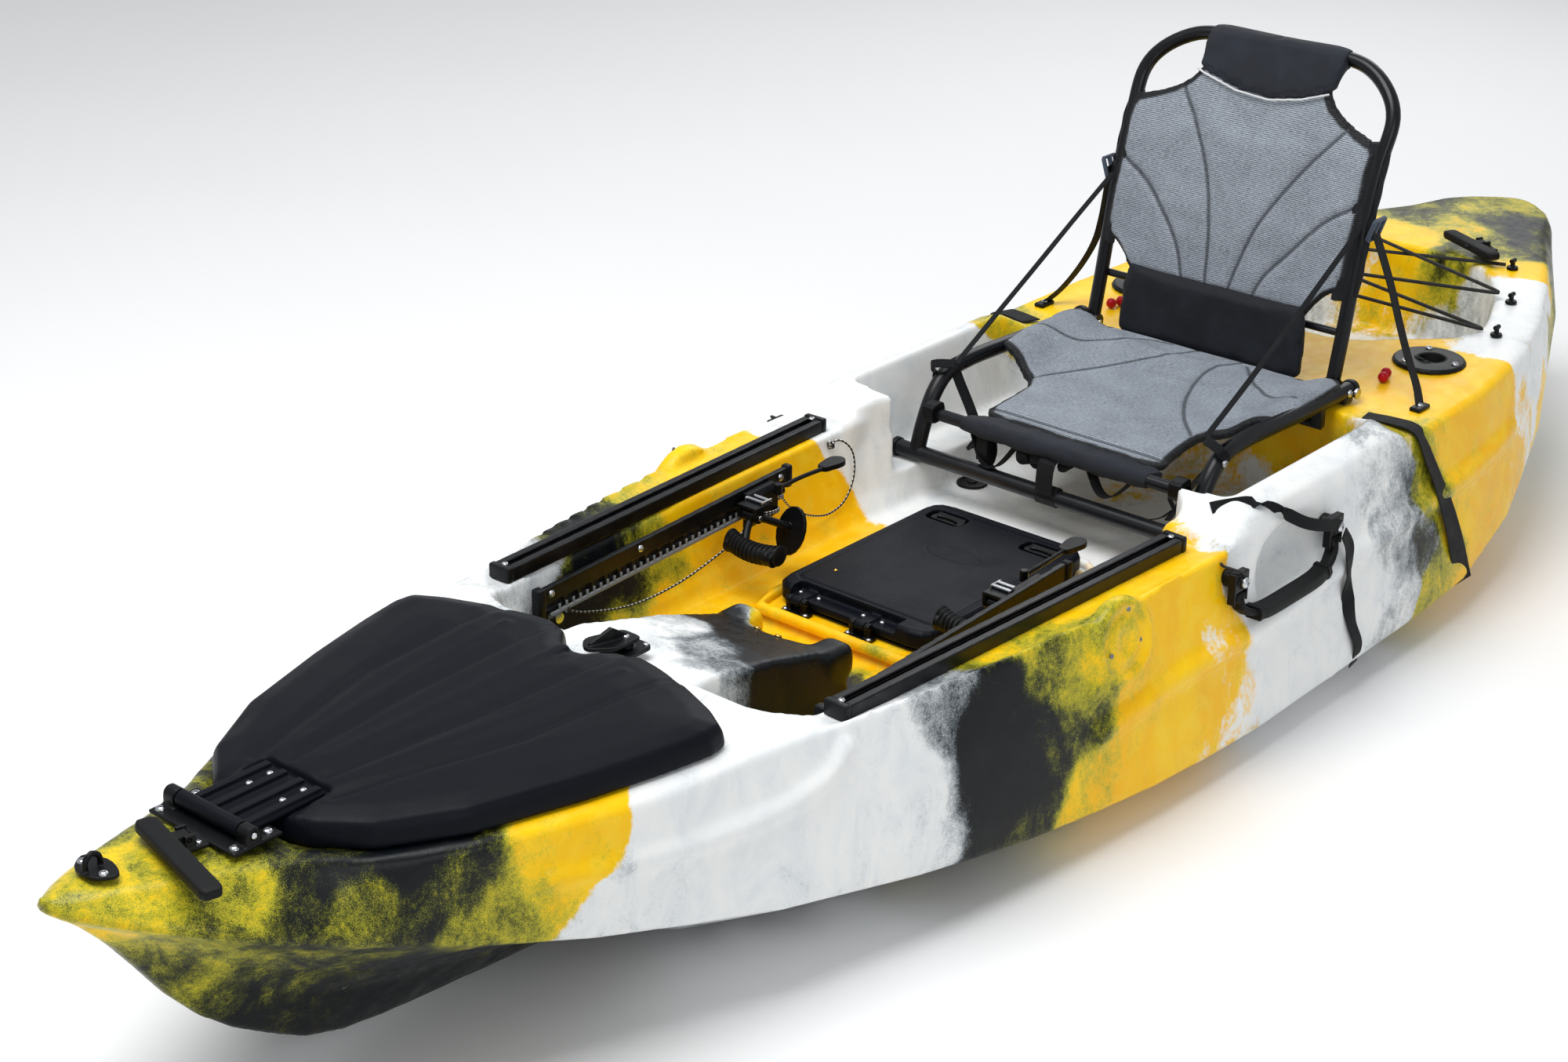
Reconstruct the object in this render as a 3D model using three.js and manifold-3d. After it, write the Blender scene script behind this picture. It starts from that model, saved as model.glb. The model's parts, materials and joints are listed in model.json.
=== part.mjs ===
// A sit-on-top pedal fishing boat with a rotomoulded hull, hinged bow hatch, drive well and frame seat.
// Millimetres, +X towards the bow, +Y towards port, +Z up.
// The origin is under the middle of the hull, on the ground.
import * as THREE from 'three';
import { mergeVertices, mergeGeometries } from 'three/addons/utils/BufferGeometryUtils.js';
import Module from 'manifold-3d';

const wasm = await Module();
wasm.setup();

// ---- driving dimensions -------------------------------------------------------------------------
const GAP = 0.3; // clearance between pieces that touch
const DECK_Z = 330; // deck under the hatch lid
const FLOOR_Z = 178; // cockpit floor
const LEDGE_Z = 231; // ledge that the seat's front bar stands on
const TANK_FLOOR_Z = 205;
const TANK_FRONT_X = -800;
const TANK_REAR_X = -1205;
const COCKPIT_FRONT_X = 735;
const COCKPIT_REAR_X = -530;
const HATCH_HINGE = { x: 1383, z: 372 };
const HATCH_SKIRT_TOP = 358;
const HATCH_TOP = 375;
const POD = { rear: -55, front: 315, half: 136, top: 228 };
const POD_HINGE = { x: 323, z: 214 };
const TRACK = { rear: 10, front: 688, yRear: 317, yFront: 286, z: 320, width: 34, height: 20 };
const RAIL = { rear: 165, front: 655, y: 243, zRear: 305, zFront: 284 };
const PEDAL = { x: 273, y: 215, z: 288 };
const TOE_BAR = { ribs: 9, pitch: 10.2, r: 12, core: 9 };
const SEAT_BAR = { x: -145, z: 245, half: 290, r: 12.5 };
const SEAT_TUBE_R = 12.5;
const BACK_PIVOT = { x: -561, z: 353, y: 246 };
const BACK_TUBE_R = 11;
const BACK_TUBE_Y = 219;
const ROD_HOLDER = { x: -780, y: 264, z: 338, flangeR: 58, boreR: 22, depth: 200 };
const SIDE_HANDLE = { front: -8, rear: -255, y: 409, z: 284, pinZ: 260, drop: 60 };
const BOW_HANDLE = { x: 1443, y: 18, z: 371.5, half: 88, shift: 36, turn: 76 };
const STERN_HANDLE = { x: -1247, y: 97, z: 380, half: 70, shift: 0, turn: 62 };
const BUNGEE_R = 3;
const ROPE_R = 1.5;

// Hull lines: [x, half-breadth, height] along the boat, from stern to bow.
const KEEL = [
  [-1600, 10, 346], [-1585, 10, 300], [-1550, 11, 190], [-1500, 12, 110], [-1440, 14, 58],
  [-1350, 18, 24], [-1200, 26, 5], [-1050, 34, 0], [700, 36, 0], [900, 30, 6], [1060, 24, 15],
  [1150, 19, 19], [1224, 16, 25], [1290, 13, 44], [1336, 12, 71], [1385, 11, 104], [1427, 10, 141],
  [1465, 10, 186], [1500, 10, 238], [1543, 9, 298], [1580, 8, 334], [1600, 6, 350],
];
const CHINE = [
  [-1600, 14, 352], [-1570, 58, 349], [-1500, 112, 343], [-1430, 150, 330], [-1360, 190, 305],
  [-1290, 234, 264], [-1190, 276, 216], [-1030, 345, 160], [-830, 402, 102], [-660, 425, 64],
  [-530, 430, 57], [-260, 430, 50], [-60, 430, 46], [138, 425, 52], [378, 405, 68],
  [593, 378, 95], [830, 330, 130], [1020, 262, 156], [1170, 212, 195], [1276, 180, 230],
  [1375, 146, 265], [1450, 120, 294], [1520, 82, 320], [1560, 50, 336], [1590, 22, 346], [1600, 10, 352],
];
const GUNWALE = [
  [-1600, 11, 361], [-1570, 60, 366], [-1500, 104, 364], [-1430, 130, 361], [-1366, 168, 359],
  [-1311, 198, 357], [-1170, 268, 354], [-1050, 318, 348], [-920, 360, 341], [-750, 381, 333],
  [-560, 387, 328], [-300, 386, 323], [-50, 384, 320], [180, 379, 321], [350, 370, 323],
  [530, 344, 325], [710, 312, 325], [830, 296, 322], [950, 279, 317], [1050, 254, 316],
  [1186, 208, 320], [1278, 158, 325], [1330, 122, 331], [1400, 92, 341], [1480, 64, 350],
  [1550, 36, 356], [1590, 14, 359], [1600, 8, 360],
];
// The inner edge of the side deck, and the height of the deck on the centreline.
const CREST = [
  [-1600, 8, 362], [-1500, 80, 366], [-1366, 140, 364], [-1170, 246, 360], [-920, 334, 352],
  [-750, 350, 341], [-560, 352, 336], [-505, 346, 340], [-470, 342, 360], [-90, 342, 360],
  [-62, 340, 345], [-20, 342, 309], [180, 340, 309], [530, 318, 309], [700, 292, 312],
  [745, 288, 326], [830, 276, 330], [1050, 238, 330], [1186, 192, 330], [1278, 142, 331],
  [1340, 96, 344], [1400, 74, 351], [1480, 50, 358], [1550, 28, 363], [1600, 5, 361],
];
const DECK_CENTRE = [
  [-1600, 0, 362], [-1500, 0, 368], [-1340, 0, 366], [-1170, 0, 362], [-800, 0, 344],
  [-560, 0, 336], [-505, 0, 340], [700, 0, 316], [745, 0, 328], [830, 0, 330], [1325, 0, 330],
  [1345, 0, 352], [1480, 0, 362], [1560, 0, 367], [1600, 0, 363],
];
// The bottom between keel and chine: a tunnel hull amidships, and a fin that flares out at both ends.
const BOTTOM_MID = [[0.36, 22], [0.58, 2], [1, 0]]; // part of the flat's half-breadth, height above the keel
const BOTTOM_END = [[0.24, 0.42], [0.42, 0.63], [0.68, 0.83]]; // parts of the way from keel to chine
const BILGE_SLOPE = 1.62; // how far the flat bottom stays in from the chine, for each unit of its height
const STATIONS = [
  -1600, -1585, -1550, -1500, -1430, -1360, -1290, -1190, -1050, -920, -830, -750, -660, -560,
  -530, -505, -470, -380, -260, -90, -62, -20, 60, 180, 300, 420, 530, 620, 700, 745, 830, 950,
  1050, 1120, 1186, 1240, 1290, 1325, 1345, 1385, 1427, 1465, 1500, 1530, 1560, 1585, 1600,
];

// ---- helpers ------------------------------------------------------------------------------------
const V = (x, y, z) => new THREE.Vector3(x, y, z);
const lerp = (a, b, t) => a + (b - a) * t;
const radians = THREE.MathUtils.degToRad;

// Reads a hull line at x, between the two points either side of it.
function lineAt(line, x) {
  let i = 0;
  while (i < line.length - 2 && x > line[i + 1][0]) {
    i += 1;
  }
  const [a, b] = [line[i], line[i + 1]];
  const t = THREE.MathUtils.clamp((x - a[0]) / (b[0] - a[0]), 0, 1);
  return { y: lerp(a[1], b[1], t), z: lerp(a[2], b[2], t) };
}

function bare(geometry) {
  const g = geometry.clone();
  g.deleteAttribute('normal');
  g.deleteAttribute('uv');
  return mergeVertices(g, 1e-4);
}

function solid(geometry) {
  const g = bare(geometry);
  const vertProperties = new Float32Array(g.attributes.position.array);
  const triVerts = new Uint32Array(g.index.array);
  return new wasm.Manifold(new wasm.Mesh({ numProp: 3, vertProperties, triVerts }));
}

function fromSolid(body) {
  const m = body.getMesh();
  const g = new THREE.BufferGeometry();
  g.setAttribute('position', new THREE.BufferAttribute(new Float32Array(m.vertProperties), 3));
  g.setIndex(new THREE.BufferAttribute(new Uint32Array(m.triVerts), 1));
  return g;
}

const join = (...parts) => fromSolid(parts.map(solid).reduce((a, b) => a.add(b)));

function cut(base, ...tools) {
  return fromSolid(tools.reduce((body, tool) => body.subtract(solid(tool)), solid(base)));
}

// A closed skin over rings of points that all have the same number of points.
function loft(rings) {
  const n = rings[0].length;
  const position = rings.flat().flatMap((p) => [p.x, p.y, p.z]);
  const index = [];
  for (let i = 0; i < rings.length - 1; i += 1) {
    for (let j = 0; j < n; j += 1) {
      const k = (j + 1) % n;
      const [a, b, c, d] = [i * n + j, i * n + k, (i + 1) * n + j, (i + 1) * n + k];
      index.push(a, b, c, b, d, c);
    }
  }
  // Each end is capped from a point at its middle.
  [[0, 1], [rings.length - 1, -1]].forEach(([ring, side]) => {
    const middle = rings[ring].reduce((s, p) => s.clone().add(p), V(0, 0, 0)).divideScalar(n);
    const m = position.length / 3;
    position.push(middle.x, middle.y, middle.z);
    for (let j = 0; j < n; j += 1) {
      const [a, b] = [ring * n + j, ring * n + ((j + 1) % n)];
      index.push(...(side > 0 ? [m, b, a] : [m, a, b]));
    }
  });
  const g = new THREE.BufferGeometry();
  g.setAttribute('position', new THREE.BufferAttribute(new Float32Array(position), 3));
  g.setIndex(index);
  return facingOut(g);
}

// Turns every face over if the closed surface holds a negative volume.
function facingOut(g) {
  const p = g.attributes.position;
  const i = g.index.array;
  let volume = 0;
  for (let t = 0; t < i.length; t += 3) {
    const [a, b, c] = [0, 1, 2].map((k) => V().fromBufferAttribute(p, i[t + k]));
    volume += a.dot(b.cross(c));
  }
  if (volume < 0) {
    g.setIndex(Array.from(i).reverse());
  }
  return g;
}

// Both halves of an outline given for y >= 0, as one closed outline.
function mirrored(half) {
  const other = half.filter(([, y]) => y > 0.01).reverse().map(([x, y]) => [x, -y]);
  return [...half, ...other];
}

// Rounds the corners of an outline of [x, y, radius] points.
function rounded(points, steps = 3) {
  const out = [];
  points.forEach(([x, y, r = 0], i) => {
    if (r === 0) {
      out.push([x, y]);
      return;
    }
    const corner = new THREE.Vector2(x, y);
    const [a, b] = [points.at(i - 1), points[(i + 1) % points.length]];
    const toA = new THREE.Vector2(a[0], a[1]).sub(corner);
    const toB = new THREE.Vector2(b[0], b[1]).sub(corner);
    const start = toA.setLength(Math.min(r, toA.length() * 0.48)).add(corner);
    const end = toB.setLength(Math.min(r, toB.length() * 0.48)).add(corner);
    for (let k = 0; k <= steps; k += 1) {
      const t = k / steps;
      const p = start.clone().lerp(corner, t).lerp(corner.clone().lerp(end, t), t);
      out.push([p.x, p.y]);
    }
  });
  return out;
}

// A solid whose plan outline changes with height: levels are [z, outline].
const tower = (levels) => loft(levels.map(([z, outline]) => outline.map(([x, y]) => V(x, y, z))));

function plate(outline, z0, z1, holes = []) {
  const shape = new THREE.Shape(outline.map(([x, y]) => new THREE.Vector2(x, y)));
  holes.forEach((hole) => shape.holes.push(new THREE.Path(hole.map(([x, y]) => new THREE.Vector2(x, y)))));
  return new THREE.ExtrudeGeometry(shape, { depth: z1 - z0, bevelEnabled: false }).translate(0, 0, z0);
}

const box = (x0, x1, y0, y1, z0, z1) => new THREE.BoxGeometry(x1 - x0, y1 - y0, z1 - z0)
  .translate((x0 + x1) / 2, (y0 + y1) / 2, (z0 + z1) / 2);

// A round bar from a to b.
function rod(a, b, r, sides = 16) {
  const along = b.clone().sub(a);
  const g = new THREE.CylinderGeometry(r, r, along.length(), sides);
  g.applyQuaternion(new THREE.Quaternion().setFromUnitVectors(V(0, 1, 0), along.clone().normalize()));
  return g.translate(...a.clone().add(b).multiplyScalar(0.5).toArray());
}

const circle = (r, sides, x = 0, y = 0) => Array.from({ length: sides }, (_, i) => {
  const t = (2 * Math.PI * i) / sides;
  return [x + r * Math.cos(t), y + r * Math.sin(t)];
});

// A bar of round or other section swept along points that are rounded into a smooth curve.
function sweep(points, section, steps, curved = true) {
  const path = curved
    ? new THREE.CatmullRomCurve3(points, false, 'centripetal')
    : polyline(points);
  const shape = new THREE.Shape(section.map(([x, y]) => new THREE.Vector2(x, y)));
  return new THREE.ExtrudeGeometry(shape, { steps, extrudePath: path, bevelEnabled: false });
}

function polyline(points) {
  const path = new THREE.CurvePath();
  for (let i = 0; i < points.length - 1; i += 1) {
    path.add(new THREE.LineCurve3(points[i], points[i + 1]));
  }
  return path;
}

function mirrorY(geometry) {
  const g = bare(geometry).scale(1, -1, 1);
  g.setIndex(Array.from(g.index.array).reverse());
  return g;
}

const forSide = (side, geometry) => (side > 0 ? geometry : mirrorY(geometry));

// ---- hull ---------------------------------------------------------------------------------------
// Half of the hull's outer section at x, from the keel round the chine and gunwale to the deck's middle.
function hullHalf(x) {
  const keel = lineAt(KEEL, x);
  const chine = lineAt(CHINE, x);
  const gunwale = lineAt(GUNWALE, x);
  const crest = lineAt(CREST, x);
  const deck = lineAt(DECK_CENTRE, x);
  const rise = chine.z - keel.z;
  const flat = chine.y - BILGE_SLOPE * rise;
  const fin = 1 - THREE.MathUtils.smoothstep(flat / chine.y, 0.12, 0.5);
  const bottom = BOTTOM_MID.map(([yMid, zMid], i) => {
    const [yEnd, zEnd] = BOTTOM_END[i];
    const middle = [lerp(keel.y, Math.max(flat, chine.y * 0.4), yMid), keel.z + zMid];
    const end = [lerp(keel.y, chine.y, yEnd), keel.z + rise * zEnd];
    return [lerp(middle[0], end[0], fin), lerp(middle[1], end[1], fin)];
  });
  const shoulder = [lerp(gunwale.y, crest.y, 0.22), lerp(gunwale.z, crest.z, 0.55)];
  return [
    [0, keel.z], [keel.y, keel.z], ...bottom, [chine.y, chine.z],
    [lerp(chine.y, gunwale.y, 0.1) + 2, lerp(chine.z, gunwale.z, 0.16)],
    [lerp(chine.y, gunwale.y, 0.5) + 1, lerp(chine.z, gunwale.z, 0.6)],
    [gunwale.y, gunwale.z], shoulder, [crest.y, crest.z],
    [crest.y * 0.5, lerp(crest.z, deck.z, 0.7)], [0, deck.z],
  ];
}

function hullRing(x) {
  const half = hullHalf(x);
  const port = half.map(([y, z]) => V(x, y, z));
  const starboard = half.slice(1, -1).reverse().map(([y, z]) => V(x, -y, z));
  return [...port, ...starboard];
}

// The hatch lid's outline, y >= 0, from its middle at the front round to its middle at the rear.
const HATCH_HALF = [
  [1331, 0], [1331, 45], [1320, 82], [1278, 136], [1186, 191], [1051, 233], [953, 256], [885, 268],
  [858, 264], [836, 228], [812, 168], [797, 110], [792, 78], [800, 50], [828, 24], [836, 0],
];
const towards = (outline, middleX, by) => outline.map(([x, y]) => {
  const [dx, dy] = [x - middleX, y];
  const length = Math.hypot(dx, dy);
  return [middleX + dx * (1 - by / length), y - (dy * by) / length];
});

// The space under the bow hatch, following the hull's shape inside.
function bowHold() {
  const ring = (x, shrink, low) => {
    const chine = lineAt(CHINE, x);
    const keel = lineAt(KEEL, x);
    const half = chine.y * shrink;
    const bottom = keel.z + low;
    const side = Math.max(chine.z + 14, bottom + 14);
    return [[0, bottom], [half * 0.4, bottom + 30], [half, side], [half, DECK_Z - 14], [0, DECK_Z - 14]];
  };
  const rings = [[850, 0.84, 62], [950, 0.84, 80], [1050, 0.82, 100], [1170, 0.78, 124], [1262, 0.7, 150]]
    .map(([x, shrink, low]) => {
      const half = ring(x, shrink, low);
      const port = half.map(([y, z]) => V(x, y, z));
      return [...port, ...half.slice(1, -1).reverse().map(([y, z]) => V(x, -y, z))];
    });
  return loft(rings);
}

const HATCH_MOUTH = mirrored([
  [1258, 0], [1258, 60], [1232, 104], [1150, 156], [1030, 196], [900, 220], [876, 190], [870, 120], [870, 0],
]);

// The footwell: an open trough with sloping sides, wider at the top.
function footwell() {
  const at = (grow) => mirrored(rounded([
    [COCKPIT_FRONT_X + grow * 0.4, 0], [COCKPIT_FRONT_X + grow * 0.4, 196 + grow, 40],
    [640, 226 + grow, 60], [350, 232 + grow, 60], [-60, 236 + grow, 60], [-60 - 30, 236 + grow * 0.2, 20],
    [COCKPIT_REAR_X + 30, 214 + grow * 0.3, 50], [COCKPIT_REAR_X - grow * 0.3, 0],
  ], 2));
  return tower([[FLOOR_Z, at(0)], [FLOOR_Z + 30, at(20)], [FLOOR_Z + 120, at(48)], [420, at(66)]]);
}

// The wider upper part of the cockpit beside the seat, which leaves a ledge on each side.
function seatWell() {
  const at = (grow) => mirrored(rounded([
    [-92, 0], [-92, 300 + grow, 14], [-485, 300 + grow, 40], [-515, 230, 30], [-515, 0],
  ], 2));
  return tower([[LEDGE_Z, at(0)], [420, at(52)]]);
}

// The console between the leg wells, with a hollow in its rear end.
function kneeConsole() {
  const side = (x, half, top) => [
    V(x, half + 12, 120), V(x, half - 34, top), V(x, -half + 34, top), V(x, -half - 12, 120),
  ];
  const hump = loft([side(790, 150, 322), side(720, 146, 318), side(580, 134, 284), side(440, 120, 240)]);
  const hollow = new THREE.CylinderGeometry(82, 76, 200, 20).rotateX(Math.PI / 2).translate(402, 0, 290);
  return cut(hump, hollow);
}

// The tank well behind the seat, for a crate.
function tankWell() {
  const at = (grow) => mirrored(rounded([
    [TANK_FRONT_X + grow * 0.8, 0], [TANK_FRONT_X + grow * 0.8, 90 + grow * 0.6, 40],
    [-920, 248 + grow * 0.9, 50], [-1080, 200 + grow * 0.7, 60], [TANK_REAR_X + 20, 132 + grow * 0.7, 40],
    [TANK_REAR_X - grow * 0.4, 76 + grow * 0.5, 20], [TANK_REAR_X - grow * 0.4, 0],
  ], 2));
  return tower([[TANK_FLOOR_Z, at(0)], [TANK_FLOOR_Z + 60, at(18)], [440, at(44)]]);
}

// The direction of a rod holder's bore, up and out of the hull.
const rodAxis = V(-0.36, 0.14, 0.92).normalize();
const rodMouth = V(ROD_HOLDER.x, ROD_HOLDER.y, ROD_HOLDER.z);

function rodPocket(side) {
  const low = rodMouth.clone().addScaledVector(rodAxis, -ROD_HOLDER.depth - 8);
  const high = rodMouth.clone().addScaledVector(rodAxis, 60);
  return forSide(side, rod(low, high, ROD_HOLDER.boreR + 5, 16));
}

// The shallow round recess in the flank behind each side handle.
function flankRecess(side) {
  const bowl = new THREE.SphereGeometry(130, 16, 10).scale(1.1, 1, 0.76);
  return forSide(side, bowl.translate(-170, 490, 258));
}

// The flat that the hatch lid closes on, with sides that flare out round it.
function hatchSeat() {
  const ring = mirrored(HATCH_HALF);
  return tower([[DECK_Z, towards(ring, HATCH_MIDDLE, -4)], [DECK_Z + 90, towards(ring, HATCH_MIDDLE, -12)]]);
}

// The raised lip round the hatch's mouth.
const hatchCoaming = () => plate(
  towards(HATCH_MOUTH, HATCH_MIDDLE, -7), DECK_Z - 8, DECK_Z + 12, [HATCH_MOUTH]);

function hull() {
  let body = solid(loft(STATIONS.map(hullRing)));
  const well = solid(footwell()).subtract(solid(kneeConsole()));
  body = body.subtract(well).subtract(solid(seatWell())).subtract(solid(tankWell()));
  body = body.subtract(solid(bowHold())).subtract(solid(plate(HATCH_MOUTH, DECK_Z - 40, DECK_Z + 40)));
  body = body.add(solid(podKerb())).subtract(solid(podCavity()));
  body = body.subtract(solid(hatchSeat())).add(solid(hatchCoaming()));
  [1, -1].forEach((side) => {
    body = body.subtract(solid(rodPocket(side))).subtract(solid(flankRecess(side)));
    body = body.subtract(solid(seatNotch(side))).subtract(solid(scupper(side)));
    body = body.subtract(solid(trackSeat(side))).subtract(solid(rodSeat(side)));
    [SIDE_HANDLE.front, SIDE_HANDLE.rear].forEach((x) => {
      body = body.subtract(solid(boltSeat(side, x)));
    });
  });
  return fromSolid(body);
}

// The flat that each gear track is screwed to.
const TRACK_FOOT = TRACK.z - 10;
function trackSeat(side) {
  const w = TRACK.width / 2 + 2;
  const [low, high] = [TRACK_FOOT - GAP, 400];
  const at = (x, y) => [V(x, y - w, low), V(x, y + w, low), V(x, y + w, high), V(x, y - w, high)];
  return forSide(side, loft([at(TRACK.rear - 10, TRACK.yRear), at(TRACK.front + 10, TRACK.yFront)]));
}

// The level spot-face that a rod holder's flange lies on.
function rodSeat(side) {
  const { x, y, z, flangeR } = ROD_HOLDER;
  const face = new THREE.CylinderGeometry(flangeR + 2, flangeR + 2, 60, 24);
  return forSide(side, face.rotateX(Math.PI / 2).translate(x, y, z + 35 - GAP));
}

// A flat on the flank for each boss of a side handle.
const boltSeat = (side, x) => forSide(side, rod(
  V(x, hullFace(x, SIDE_HANDLE.z) - 3, SIDE_HANDLE.z), V(x, 460, SIDE_HANDLE.z), 14.5, 16));

// A step in each ledge that the end of the seat's front bar drops into.
function seatNotch(side) {
  return forSide(side, box(SEAT_BAR.x - 22, SEAT_BAR.x + 22, 236, 312, LEDGE_Z - 0.4, LEDGE_Z + 60));
}

const SCUPPER = { x: -232, y: 204, r: 17 };
const scupper = (side) => new THREE.CylinderGeometry(SCUPPER.r, SCUPPER.r, 400, 14)
  .rotateX(Math.PI / 2).translate(SCUPPER.x, SCUPPER.y * side, 120);

// The raised rim round the drive well, and the well's hole through the hull.
const podOutline = (grow, r = 34) => rounded([
  [POD.rear - grow, -POD.half - grow, r], [POD.front + grow, -POD.half - grow, r],
  [POD.front + grow, POD.half + grow, r], [POD.rear - grow, POD.half + grow, r],
], 3);
const podKerb = () => tower([[FLOOR_Z - 4, podOutline(36, 56)], [FLOOR_Z + 17, podOutline(22, 46)]]);
const podCavity = () => plate(podOutline(-22, 26), -20, 320);

// ---- bow hatch ----------------------------------------------------------------------------------
const HATCH_MIDDLE = 1060;
const LID_NOTCH = { x0: 1262, x1: 1340, half: 56, z: 362 };

// A ridge along the lid's top, which runs in towards the middle at the front.
function lidRidge(y, half) {
  return loft([[1225, 0.5], [1000, 0.86], [850, 1]].map(([x, spread]) => {
    const middle = y * spread;
    return [
      V(x, middle - half, HATCH_TOP - 8), V(x, middle - half * 0.5, HATCH_TOP + 1),
      V(x, middle + half * 0.5, HATCH_TOP + 1), V(x, middle + half, HATCH_TOP - 8),
    ];
  }));
}

// A dished cover: a skirt round the edge, a crowned top with three ridges, and a flat notch for the hinge.
function hatchLid() {
  const at = (by) => mirrored(towards(HATCH_HALF, HATCH_MIDDLE, by));
  const z0 = DECK_Z + 1.5;
  const shell = tower([
    [z0, at(1)], [z0 + 8, at(0)], [HATCH_SKIRT_TOP - 4, at(3)], [HATCH_SKIRT_TOP + 5, at(9)],
    [HATCH_TOP - 4, at(36)], [HATCH_TOP, at(92)],
  ]);
  const under = tower([
    [z0 - 5, at(6)], [HATCH_SKIRT_TOP - 9, at(8)], [HATCH_TOP - 10, at(44)], [HATCH_TOP - 6, at(96)],
  ]);
  const ridges = [[-98, 9], [0, 12], [98, 9]].map(([y, half]) => lidRidge(y, half));
  const notch = box(LID_NOTCH.x0, LID_NOTCH.x1, -LID_NOTCH.half, LID_NOTCH.half, LID_NOTCH.z, 400);
  const padHalf = LID_NOTCH.half + 6;
  const pad = box(LID_NOTCH.x0 - 4, 1322, -padHalf, padHalf, LID_NOTCH.z - 6, LID_NOTCH.z);
  const dished = cut(shell, under);
  return cut(join(dished, ...ridges, pad), notch);
}

function hatchHingeBase() {
  const foot = box(1346, 1412, -72, 72, 357.6, 362);
  const bearing = (y) => join(
    rod(V(HATCH_HINGE.x, y - 9, HATCH_HINGE.z), V(HATCH_HINGE.x, y + 9, HATCH_HINGE.z), 10, 14),
    box(1373, 1393, y - 9, y + 9, 359, HATCH_HINGE.z),
  );
  const pinHole = rod(V(HATCH_HINGE.x, -80, HATCH_HINGE.z), V(HATCH_HINGE.x, 80, HATCH_HINGE.z), 4.3, 14);
  return cut(join(foot, bearing(-62), bearing(62)), pinHole);
}

const hatchHingePin = () => rod(
  V(HATCH_HINGE.x, -72, HATCH_HINGE.z), V(HATCH_HINGE.x, 72, HATCH_HINGE.z), 4, 14);

// The ribbed leaf that carries the lid, with its knuckle round the pin.
function hatchHingeLeaf() {
  const z0 = LID_NOTCH.z + GAP;
  const blade = box(1268, 1374, -50, 50, z0, z0 + 5);
  const knuckle = rod(V(HATCH_HINGE.x, -51, HATCH_HINGE.z), V(HATCH_HINGE.x, 51, HATCH_HINGE.z), 10, 14);
  const ribs = [-42, -14, 14, 42].map((y) => box(1270, 1386, y - 5, y + 5, z0 + 3, z0 + 11));
  const pinHole = rod(V(HATCH_HINGE.x, -80, HATCH_HINGE.z), V(HATCH_HINGE.x, 80, HATCH_HINGE.z), 4.3, 14);
  return cut(join(blade, knuckle, ...ribs), pinHole);
}

const LATCH = { x: 752, y: 4, z: 340 };

function latchBase() {
  const outline = rounded([[728, -22, 10], [780, -22, 10], [780, 28, 10], [728, 28, 10]]);
  const post = new THREE.CylinderGeometry(9, 11, 12, 16).rotateX(Math.PI / 2);
  return join(plate(outline, DECK_Z + GAP, 336), post.translate(LATCH.x, LATCH.y, 337));
}

// The turning latch: a teardrop cam that lies on the lid's rear edge, with a finger fin.
function hatchLatch() {
  const z = 343 + GAP;
  const outline = [[738, 18, 8], [738, -14, 8], [790, -34, 14], [812, -10, 14], [780, 18, 10]];
  const cam = plate(rounded(outline, 4), z, z + 5);
  const fin = loft([[742, 3, 4], [770, 5, 22], [800, 3, 8]].map(([x, half, h]) => {
    const y = 4 - (x - 742) * 0.28;
    return [
      V(x, y - half, z + 3), V(x, y + half, z + 3),
      V(x, y + half * 0.6, z + h), V(x, y - half * 0.6, z + h),
    ];
  }));
  return join(cam, fin);
}

// ---- carry handles and padeye -------------------------------------------------------------------
function padeye() {
  const outline = [[1550, -17, 14], [1550, 17, 14], [1524, 34, 12], [1510, 0, 20], [1524, -34, 12]];
  const foot = plate(rounded(outline, 3), 369.5, 374);
  const eye = sweep([V(1526, 0, 371), V(1526, 0, 384), V(1535, 0, 391), V(1544, 0, 384), V(1544, 0, 371)],
    circle(3.4, 8), 10);
  return join(foot, eye);
}

const turned = (geometry, spec) => geometry.rotateZ(radians(spec.turn)).translate(spec.x, spec.y, spec.z);

// A small clevis bolted to the deck, in its own frame with the handle's axis along X.
const handleBracket = () => cut(
  join(box(-16, 16, 4, 30, -9.4, -4.5), box(-14, -9, 4, 16, -7, 10), box(9, 14, 4, 16, -7, 10)),
  rod(V(-20, 9, 4), V(20, 9, 4), 2.6, 10),
);

// A thick grip bar with bevelled ends, on an ear that swings in the clevis.
function handleGrip({ half, shift }) {
  const outline = [[-13, -5, 4], [13, -5, 4], [13, 9, 5], [-13, 9, 5]];
  const section = rounded(outline.map(([y, z, r]) => [y, z, r]), 2);
  const ring = (x, by) => section.map(([y, z]) => V(x + shift, -14 + y * by, 3 + (z - 2) * by));
  const bar = loft([ring(-half, 0.72), ring(-half + 8, 1), ring(half - 8, 1), ring(half, 0.72)]);
  const ear = box(-8.4, 8.4, -4, 13, -1, 8);
  const pin = rod(V(-14, 9, 4), V(14, 9, 4), 2.3, 10);
  return join(bar, ear, pin);
}

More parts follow.
